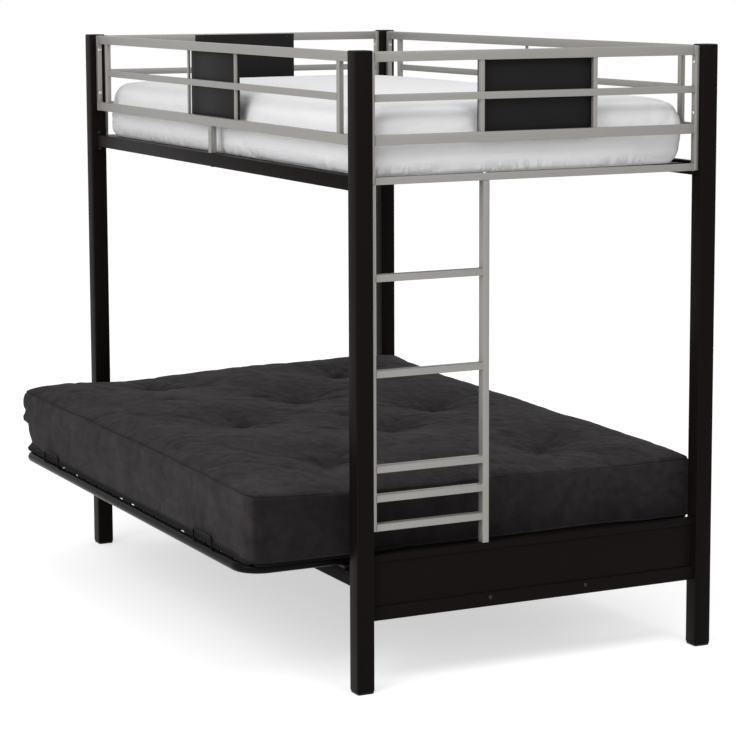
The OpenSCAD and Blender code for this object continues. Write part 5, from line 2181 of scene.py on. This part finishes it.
@dataclass
class FutonMattress:
    """The charcoal suede mattress that folds with the futon.

    A way is a start and an end along X or Y, and far_rise is Y with the rise there. Rolls
    and tucks are a depth with a start and an end on the band, notches a depth with a place
    on it. The fold shares are for the corners in the order of CORNERS.
    """

    form: Mattress = Mattress(
        length=1.84,
        width=1.358,
        height=0.176,
        crown=0.03,
        corner=0.046,
        low_corner=0.056,
        back_corner=0.55,
        draw=0.006,
        bulge=0.011,
        base_z=0.3598,
        centre_y=-0.0015,
        near_power=4.5,
        rows=(
            (0.0, 0.5), (0.03, 0.55), (0.062, 0.5), (0.085, 0.12), (0.115, 0.0),
            (0.17, 0.0), (0.27, 0.0), (0.38, 0.0), (0.5, 0.0), (0.62, 0.0), (0.73, 0.02),
            (0.83, 0.08), (0.91, 0.18), (0.965, 0.32), (1.0, 0.6),
        ),
        seam_row=3,
        tufts=(
            (-0.73, -0.46), (0.03, -0.46), (0.68, -0.46), (-0.31, 0.03), (0.3, 0.07),
            (-0.69, 0.47), (0.03, 0.48), (0.73, 0.48),
        ),
        tuft_dip=0.045,
    )
    piping_r: float = 0.0026
    fold_start: float = -0.2545
    fold_end: float = 0.2455
    wire_pitch: float = 0.094
    tube_y: float = -0.655
    sag: float = 0.0053
    end_sag: float = 0.0083
    plate_x: float = 0.912
    plate_top: float = 0.3585
    raised_at: tuple[float, ...] = (-0.528, -0.412, -0.118, -0.027, 0.066, 0.446)
    plate_way: Pair = (-0.3, 0.5)
    plate_fade: float = 0.06
    plate_limit: tuple[Pair, ...] = ((0.0, 0.91), (0.15, 0.91), (0.3, 0.9125))
    front_room: float = 0.003
    stop_top: float = 0.404
    stop_fade: float = 0.02
    stop_gap: float = 0.0035
    top_from: float = 0.97
    under_to: float = 0.07
    top_ripples: tuple[Ripple, ...] = (
        Ripple(0.0036, (4.5, 4.5, 1), 3.0),
        Ripple(0.0014, (13, 15, 1), 8.0),
        Ripple(0.0005, (34, 40, 1), 11.0),
        Ripple(0.0022, (4.2, 6.5, 1), 31.0, 0.07),
        Ripple(0.0014, (9, 12, 1), 57.0, 0.09),
    )
    band_ripples: tuple[Ripple, ...] = (
        Ripple(0.0024, (4, 4, 5), 12.0),
        Ripple(0.0005, (12, 12, 12), 17.0),
    )
    hem: Ripple = Ripple(0.001, (12, 12, 3), 21.0)
    hem_width: float = 0.03
    seam_depth: float = 0.0036
    seam_width: float = 0.006
    seam_from: float = 0.9
    folds: TuftFolds = TuftFolds()
    far_reach: float = 0.35
    far_rise: tuple[Pair, ...] = (
        (-0.68, 0.001), (-0.5, 0.01), (-0.15, 0.013), (0.1, 0.024),
    )
    near_reach: float = 0.2
    near_slack: float = 0.014
    near_way: Pair = (-0.72, -0.42)
    front_reach: float = 0.3
    front_rise: float = 0.008
    roll: Ripple = Ripple(0.004, (3.4, 3.4, 1), 40.0)
    tilt_power: float = 1.3
    hang: float = 0.012
    hang_way: Pair = (0.8, 0.9)
    hang_at: float = 0.085
    hang_width: float = 0.07
    lip: Ripple = Ripple(0.0035, (5, 5, 1), 71.0)
    lip_at: float = 0.09
    lip_width: float = 0.05
    rolls: tuple[Triple, ...] = (
        (0.006, 0.65, 1.0), (0.007, 0.44, 0.65), (0.005, 0.12, 0.44),
    )
    tucks: tuple[Triple, ...] = ((0.013, 0.46, 0.41), (0.012, 0.4, 0.1))
    notches: tuple[Pair, ...] = ((0.007, 0.65), (0.004, 0.44))
    notch_width: float = 0.03
    fold_reach: float = 0.11
    fold_shares: tuple[float, ...] = (1.0, 0.8, 0.12, 0.06)

    def held(self, data: bpy.types.Mesh) -> np.ndarray:
        """Return how firmly each point is held while the mattress is filled."""
        co = coordinates_of(data)
        height = values_of(data, "band_height")
        grip = np.where(height < 0.1, 1.0, np.where(height < FULL, 0.92, 0.0))
        grip = np.maximum(grip, 0.6 * (values_of(data, "top_seam") > 0.5))
        for x, y in self.form.tuft_places():
            away = np.hypot(co[:, 0] - x, co[:, 1] - y)
            pull = np.clip(1.25 - away / 0.024, 0, 1)
            grip = np.maximum(grip, np.where(height > FULL, pull, 0))
        return grip

    def wrinkle(self, data: bpy.types.Mesh) -> None:
        """Lay the fine folds of the cover over the filled shape."""
        rest, normal, co = rest_of(data), normals_of(data), coordinates_of(data)
        height, way = values_of(data, "band_height"), values_of(data, "seam_way")
        top = slope(height, self.top_from, 1)
        side = (1 - top) * (height >= self.under_to)
        hem = self.hem.lift(rest) * bell(way, self.hem_width)
        push = top * (lifted(rest, self.top_ripples) + hem)
        push += self.folds.lift(rest, top, self.form.tuft_places())
        push += side * (lifted(rest, self.band_ripples) + self.corner_folds(rest, height))
        push -= self.seam_depth * bell(way, self.seam_width) * (height > self.seam_from)
        co += normal * push[:, None]
        co[:, 2] += self.lean(rest, height)
        self.settle(rest, co, height)
        store(data, co)

    def lean(self, rest: np.ndarray, height: np.ndarray) -> np.ndarray:
        """Return how far each point lies above or below the even form.

        The mattress is fuller at its far end and slack at the ladder's, its seam dips
        between the wires' ends, and its lower edge hangs over the side tubes.

        Args:
            rest: Rest places of the points.
            height: Their heights on the band, from 0 to 1.
        """
        half, x, y = self.form.length / 2, rest[:, 0], rest[:, 1]
        tilt = np.exp(-(x + half) / self.far_reach) * np.interp(y, *zip(*self.far_rise))
        slack = np.exp(-(half - x) / self.near_reach) * slope(y, *self.near_way)
        tilt -= self.near_slack * slack
        tilt += self.front_rise * np.exp(-(y + self.form.width / 2) / self.front_reach)
        tilt += self.roll.lift(rest * np.array([1, 1, 0]))
        hang = slope(np.abs(x), *self.hang_way) * bell(height, self.hang_width, self.hang_at)
        lip = self.lip.lift(rest) * bell(height, self.lip_width, self.lip_at)
        tilt = tilt * np.clip(height, 0, 1) ** self.tilt_power
        return tilt - self.hang * hang * (height > 0.01) + lip

    def sagged(self, rest: np.ndarray, height: np.ndarray) -> np.ndarray:
        """Return how far the underside sags between the wires and past the side tubes.

        Args:
            rest: Rest places of the points.
            height: Their heights on the band, from 0 to 1.
        """
        x, y = rest[:, 0], rest[:, 1]
        from_wire = np.abs(x / self.wire_pitch % 1 - 0.5) * self.wire_pitch
        slack = slope(from_wire, 0.002, 0.008)
        for place in self.raised_at:
            slack *= 1 - bell(x, 0.009, place) * (y < 0)
        rim = slope(np.abs(y - self.form.centre_y), -self.tube_y, 0.01 - self.tube_y)
        past_tube = self.end_sag * slope(np.abs(x), 0.895, 0.901)
        depth = np.maximum(self.sag * slack * (0.35 + 0.65 * rim), past_tube)
        return depth * slope(height, 0.06, 0)

    def settle(self, rest: np.ndarray, co: np.ndarray, height: np.ndarray) -> None:
        """Rest the underside on the wires and tubes, clear of the stops and the guide plates.

        Args:
            rest: Rest places of the points.
            co: Their coordinates, which are changed.
            height: Their heights on the band, from 0 to 1.
        """
        form = self.form
        floor = form.base_z + 0.0002 * (height > 0.001)
        co[:, 2] = np.maximum(co[:, 2], floor) - self.sagged(rest, height)
        self.clear_plates(rest, co, height)
        front = form.centre_y - form.width / 2
        out = front - co[:, 1]
        eased = front - self.front_room * np.tanh(out / self.front_room)
        co[:, 1] = np.where(out > 0, eased, co[:, 1])
        self.clear_stops(co)

    def clear_plates(self, rest: np.ndarray, co: np.ndarray, height: np.ndarray) -> None:
        """Draw the ends in beside the guide plates.

        Args:
            rest: Rest places of the points.
            co: Their coordinates, which are changed.
            height: Their heights on the band, from 0 to 1.
        """
        inside = np.sign(co[:, 0]) * np.minimum(np.abs(co[:, 0]), self.plate_x)
        co[:, 0] = np.where(co[:, 2] < self.plate_top, inside, co[:, 0])
        (start, end), fade = self.plate_way, self.plate_fade
        beside = slope(rest[:, 1], start, start + fade) * slope(rest[:, 1], end, end - fade)
        limit = np.interp(height, *zip(*self.plate_limit)) - self.front_room
        over = np.maximum(0, np.abs(co[:, 0]) - limit)
        eased = self.front_room * np.tanh(over / self.front_room) - over
        co[:, 0] += np.sign(co[:, 0]) * beside * eased

    def clear_stops(self, co: np.ndarray) -> None:
        """Press the front edge in behind the wire stops, by changing its coordinates."""
        lo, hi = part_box("mattress_stops")
        for middle in (lo.x + STOP_WIDTH / 2, hi.x - STOP_WIDTH / 2):
            near = np.clip(1.5 - np.abs(co[:, 0] - middle) / STOP_WIDTH, 0, 1)
            pressed = near * slope(co[:, 2], self.stop_top + self.stop_fade, self.stop_top)
            dent = np.maximum(0, hi.y + self.stop_gap - co[:, 1]) * (co[:, 1] < 0)
            co[:, 1] += np.clip(2 * pressed, 0, 1) * np.where(dent < self.stop_fade, dent, 0)

    def corner_folds(self, rest: np.ndarray, height: np.ndarray) -> np.ndarray:
        """Return the level creases where the band is gathered round its corners.

        Args:
            rest: Rest places of the points.
            height: Their heights on the band, from 0 to 1.
        """
        profile = sum(d * np.sin(np.pi * slope(height, a, b)) for d, a, b in self.rolls)
        profile -= sum(d * slope(height, a, b) for d, a, b in self.tucks)
        profile -= sum(d * bell(height, self.notch_width, at) for d, at in self.notches)
        near = sum(
            share * bell(np.hypot(*self.form.from_corner(rest, *corner)), self.fold_reach)
            for corner, share in zip(CORNERS, self.fold_shares)
        )
        return near * profile

    def paint_end_shade(self, data: bpy.types.Mesh) -> None:
        """Store how much painted shade each point gets: 1 for none, less on the end bands, most low
        at the front.
        """
        rest, height = rest_of(data), values_of(data, "band_height")
        end = slope(np.abs(rest[:, 0]), 0.9, 0.91) * slope(height, 1, 0.96)
        light = 0.36 + 0.45 * slope(rest[:, 1], -0.5, 0.5) * (0.35 + 0.65 * height)
        set_values(data, "painted_end_light", 1 - end * (1 - light))

    def piping(self, data: bpy.types.Mesh, label: str, name: str) -> bpy.types.Object:
        """Sew a piping along a seam.

        Args:
            data: The finished mattress mesh.
            label: The attribute that marks the seam.
            name: The piece's name.

        Returns:
            The piping, not yet on a body.
        """
        co, normal = coordinates_of(data), normals_of(data)
        loop = seam_loop(data, label)
        places = co[loop] + 0.0008 * normal[loop]
        for _ in range(2):
            places = 0.5 * places + 0.25 * (np.roll(places, 1, 0) + np.roll(places, -1, 0))
        form = Form()
        form.tube([Vector(p) for p in places], self.piping_r, 8, looped=True)
        bmesh.ops.recalc_face_normals(form.mesh, faces=form.mesh.faces)
        cord = bpy.data.meshes.new(name)
        form.mesh.to_mesh(cord)
        form.mesh.free()
        set_values(cord, "rest_place", coordinates_of(cord))
        return place_piece(name, cord, None, PIPING_SUEDE)

    def build(self) -> None:
        """Build the mattress and its piping."""
        data = self.form.mesh("futon_mattress")
        self.form.dip_tufts(data)
        Inflation().run(data, self.held(data))
        data = refined(data)
        self.wrinkle(data)
        self.paint_end_shade(data)
        nodes = ("futon_seat", "futon_fold", "futon_back")
        cover = place_piece("futon_mattress_cover", data, None, CHARCOAL_SUEDE, nodes)
        pieces = [
            cover,
            self.piping(data, "top_seam", "futon_top_piping"),
            self.piping(data, "low_seam", "futon_low_piping"),
        ]
        for obj in pieces:
            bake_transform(obj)


@dataclass
class UpperMattress:
    """The upper mattress in its white fitted cover."""

    form: Mattress = Mattress(
        length=1.894,
        width=0.984,
        height=0.168,
        crown=0.02,
        corner=0.06,
        low_corner=0.024,
        draw=0.003,
        bulge=0.026,
        base_z=1.3495,
        centre_y=0.1395,
        near_power=14.0,
        rows=(
            (0.0, 0.6), (0.03, 0.38), (0.08, 0.2), (0.16, 0.07), (0.27, 0.0), (0.4, 0.0),
            (0.52, 0.03), (0.64, 0.09), (0.75, 0.18), (0.84, 0.32), (0.91, 0.5),
            (0.965, 0.72), (1.0, 1.0),
        ),
    )

    ripples: tuple[Ripple, ...] = (
        Ripple(0.0022, (3, 3, 3), 2.0),
        Ripple(0.0009, (10, 10, 10), 6.0),
    )
    gathers: Ripple = Ripple(0.0065, (38, 38, 5), 14.0)
    gather_height: float = 0.26
    loose: Ripple = Ripple(1.4, (3, 3, 1), 25.0)
    crease: Ripple = Ripple(0.0016, (3.5, 3.5, 14), 33.0, 0.06)
    hem: Ripple = Ripple(0.001, (20, 20, 4), 9.0)
    hem_width: float = 0.03
    corner_reach: float = 0.2
    corner_scale: Triple = (7, 7, 9)
    corner_swell: float = 0.0035
    corner_crease: float = 0.0028
    tuck: float = 0.02
    tuck_height: float = 0.6

    def corner_folds(self, rest: np.ndarray) -> np.ndarray:
        """Return the slanting folds at the corners.

        Args:
            rest: Rest places of the points.
        """
        total = np.zeros(len(rest))
        for sx, sy in CORNERS:
            dx, dy = self.form.from_corner(rest, sx, sy)
            slant = np.column_stack([dx - dy, dx + dy, rest[:, 2] * 1.5])
            swell = noise_at(slant, self.corner_scale, 50.0 + 3 * sx + sy)
            folds = self.corner_swell * swell - self.corner_crease * bell(swell, 0.08)
            total += bell(np.hypot(dx, dy), self.corner_reach) * folds
        return total

    def wrinkle(self, data: bpy.types.Mesh) -> None:
        """Lay the cover's soft folds over the mattress and tuck one corner in."""
        rest, normal, co = rest_of(data), normals_of(data), coordinates_of(data)
        height, way = values_of(data, "band_height"), values_of(data, "seam_way")
        side = (height > 0.001) & (height < FULL)
        gathered = np.clip(0.4 + self.loose.lift(rest), 0, 1) * bell(height, self.gather_height)
        push = lifted(rest, self.ripples) + self.corner_folds(rest)
        push += side * (gathered * self.gathers.lift(rest) + self.crease.lift(rest))
        push += self.hem.lift(rest) * bell(way, self.hem_width)
        co += normal * (push * (height >= 0.001))[:, None]
        near = bell(np.hypot(*self.form.from_corner(rest, 1, 1)), self.corner_reach)
        co[:, :2] -= (self.tuck * near * slope(height, self.tuck_height, 0))[:, None]
        co[:, 2] = np.maximum(co[:, 2], self.form.base_z)
        store(data, co)

    def build(self) -> None:
        """Build the mattress in its cover."""
        data = refined(self.form.mesh("upper_mattress"))
        self.wrinkle(data)
        cover = place_piece("upper_mattress_cover", data, Body.BUNK, WHITE_COTTON, ["top_mattress"])


# The studio


@dataclass(frozen=True)
class Lamp:
    """A soft square lamp; its power is in watts."""

    name: str
    place: Triple
    aim: Triple
    size: float
    power: float

    def hang(self) -> None:
        """Hang the lamp."""
        light = bpy.data.lights.new(self.name, "AREA")
        light.shape = "SQUARE"
        light.size = self.size
        light.energy = self.power
        lamp = bpy.data.objects.new(self.name, light)
        lamp.location = self.place
        way = Vector(self.aim) - Vector(self.place)
        lamp.rotation_euler = way.to_track_quat("-Z", "Y").to_euler()
        link(lamp)


@dataclass
class Studio:
    """The floor, the lamps, the white surround and the camera."""

    lens: float = 121.242
    shift_y: float = -0.1
    yaw: float = 63.698
    pitch: float = 7.424
    roll: float = -0.207
    camera_place: Triple = (6.6362, -3.1637, 1.8753)
    sensor: float = 36.0
    sight: float = 300.0
    floor_lines: tuple[float, ...] = (-40, -8, -4, -2, 0, 2, 4, 8, 40)
    surround: float = 0.6
    lamps: tuple[Lamp, ...] = (
        Lamp("lamp_front", (3.2, -5.4, 4.2), (0, 0, 0.9), 4.5, 250),
        Lamp("lamp_ladder_end", (3.9, 0.6, 5.2), (0.9, 0.1, 1.4), 2.0, 66),
    )

    def lay_floor(self) -> None:
        """Lay the floor, with a grid that is finer under the bed."""
        steps = self.floor_lines
        mesh = bmesh.new()
        grid = [[mesh.verts.new((x, y, 0)) for x in steps] for y in steps]
        for row, above in zip(grid, grid[1:]):
            for i in range(len(steps) - 1):
                mesh.faces.new((row[i], row[i + 1], above[i + 1], above[i]))
        data = bpy.data.meshes.new("studio_floor")
        mesh.to_mesh(data)
        mesh.free()
        data.materials.append(STUDIO_WHITE.material())
        floor = bpy.data.objects.new("studio_floor", data)
        link(floor)

    def surround_with_white(self) -> None:
        """Light the scene from all round, and show plain white behind it."""
        world = bpy.data.worlds.new("studio_surround")
        world.use_nodes = True
        bpy.context.scene.world = world
        graph = Graph(world.node_tree)
        colour = {"Color": (1, 1, 1, 1)}
        soft = graph.add("ShaderNodeBackground", None, {**colour, "Strength": self.surround})
        white = graph.add("ShaderNodeBackground", None, {**colour, "Strength": 1.0})
        shaders = {0: graph.plain_view(), 1: graph.out(soft), 2: graph.out(white)}
        both = graph.add("ShaderNodeMixShader", None, shaders)
        graph.add("ShaderNodeOutputWorld", None, {"Surface": graph.out(both)})

    def set_camera(self) -> None:
        """Stand the camera where the photograph's stood."""
        view = bpy.data.cameras.new("camera")
        view.lens = self.lens
        view.sensor_width = self.sensor
        view.shift_y = self.shift_y
        view.clip_end = self.sight
        camera = bpy.data.objects.new("camera", view)
        level = Matrix.Rotation(math.radians(self.yaw), 4, "Z")
        tilt = Matrix.Rotation(math.radians(90 - self.pitch), 4, "X")
        turn = Matrix.Rotation(math.radians(self.roll), 4, "Z")
        camera.matrix_world = Matrix.Translation(self.camera_place) @ level @ tilt @ turn
        link(camera)
        bpy.context.scene.camera = camera

    def build(self) -> None:
        """Set the whole studio up."""
        bpy.context.scene.view_settings.view_transform = "Standard"
        self.set_camera()
        self.lay_floor()
        self.surround_with_white()
        for lamp in self.lamps:
            lamp.hang()


def main() -> None:
    """Build the studio and every piece, in order."""
    logging.basicConfig(level=logging.INFO, format="%(name)s %(message)s")
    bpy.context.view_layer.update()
    bunk = Bunk()
    Studio().build()
    Posts(bunk).build()
    for side, end in ENDS:
        EndFrame(bunk, side, end + "_end").build()
    Guard(bunk, -1, "front_guard").build()
    Guard(bunk, 1, "back_guard").build()
    sheet("front_guard_panel", bunk.plate_ease, PANEL_PAINT)
    UpperDeck(bunk).build()
    ladder, lower = Ladder(bunk), LowerFrame(bunk)
    ladder.build()
    lower.build()
    Fasteners(bunk, ladder, lower).build()
    seat = FutonDeck(Body.SEAT, -1, "seat")
    back = FutonDeck(Body.BACK, 1, "back")
    Mechanism().build(seat, back)
    MattressStops(seat).build()
    UpperMattress().build()
    FutonMattress().build()


if __name__ == "__main__":
    main()
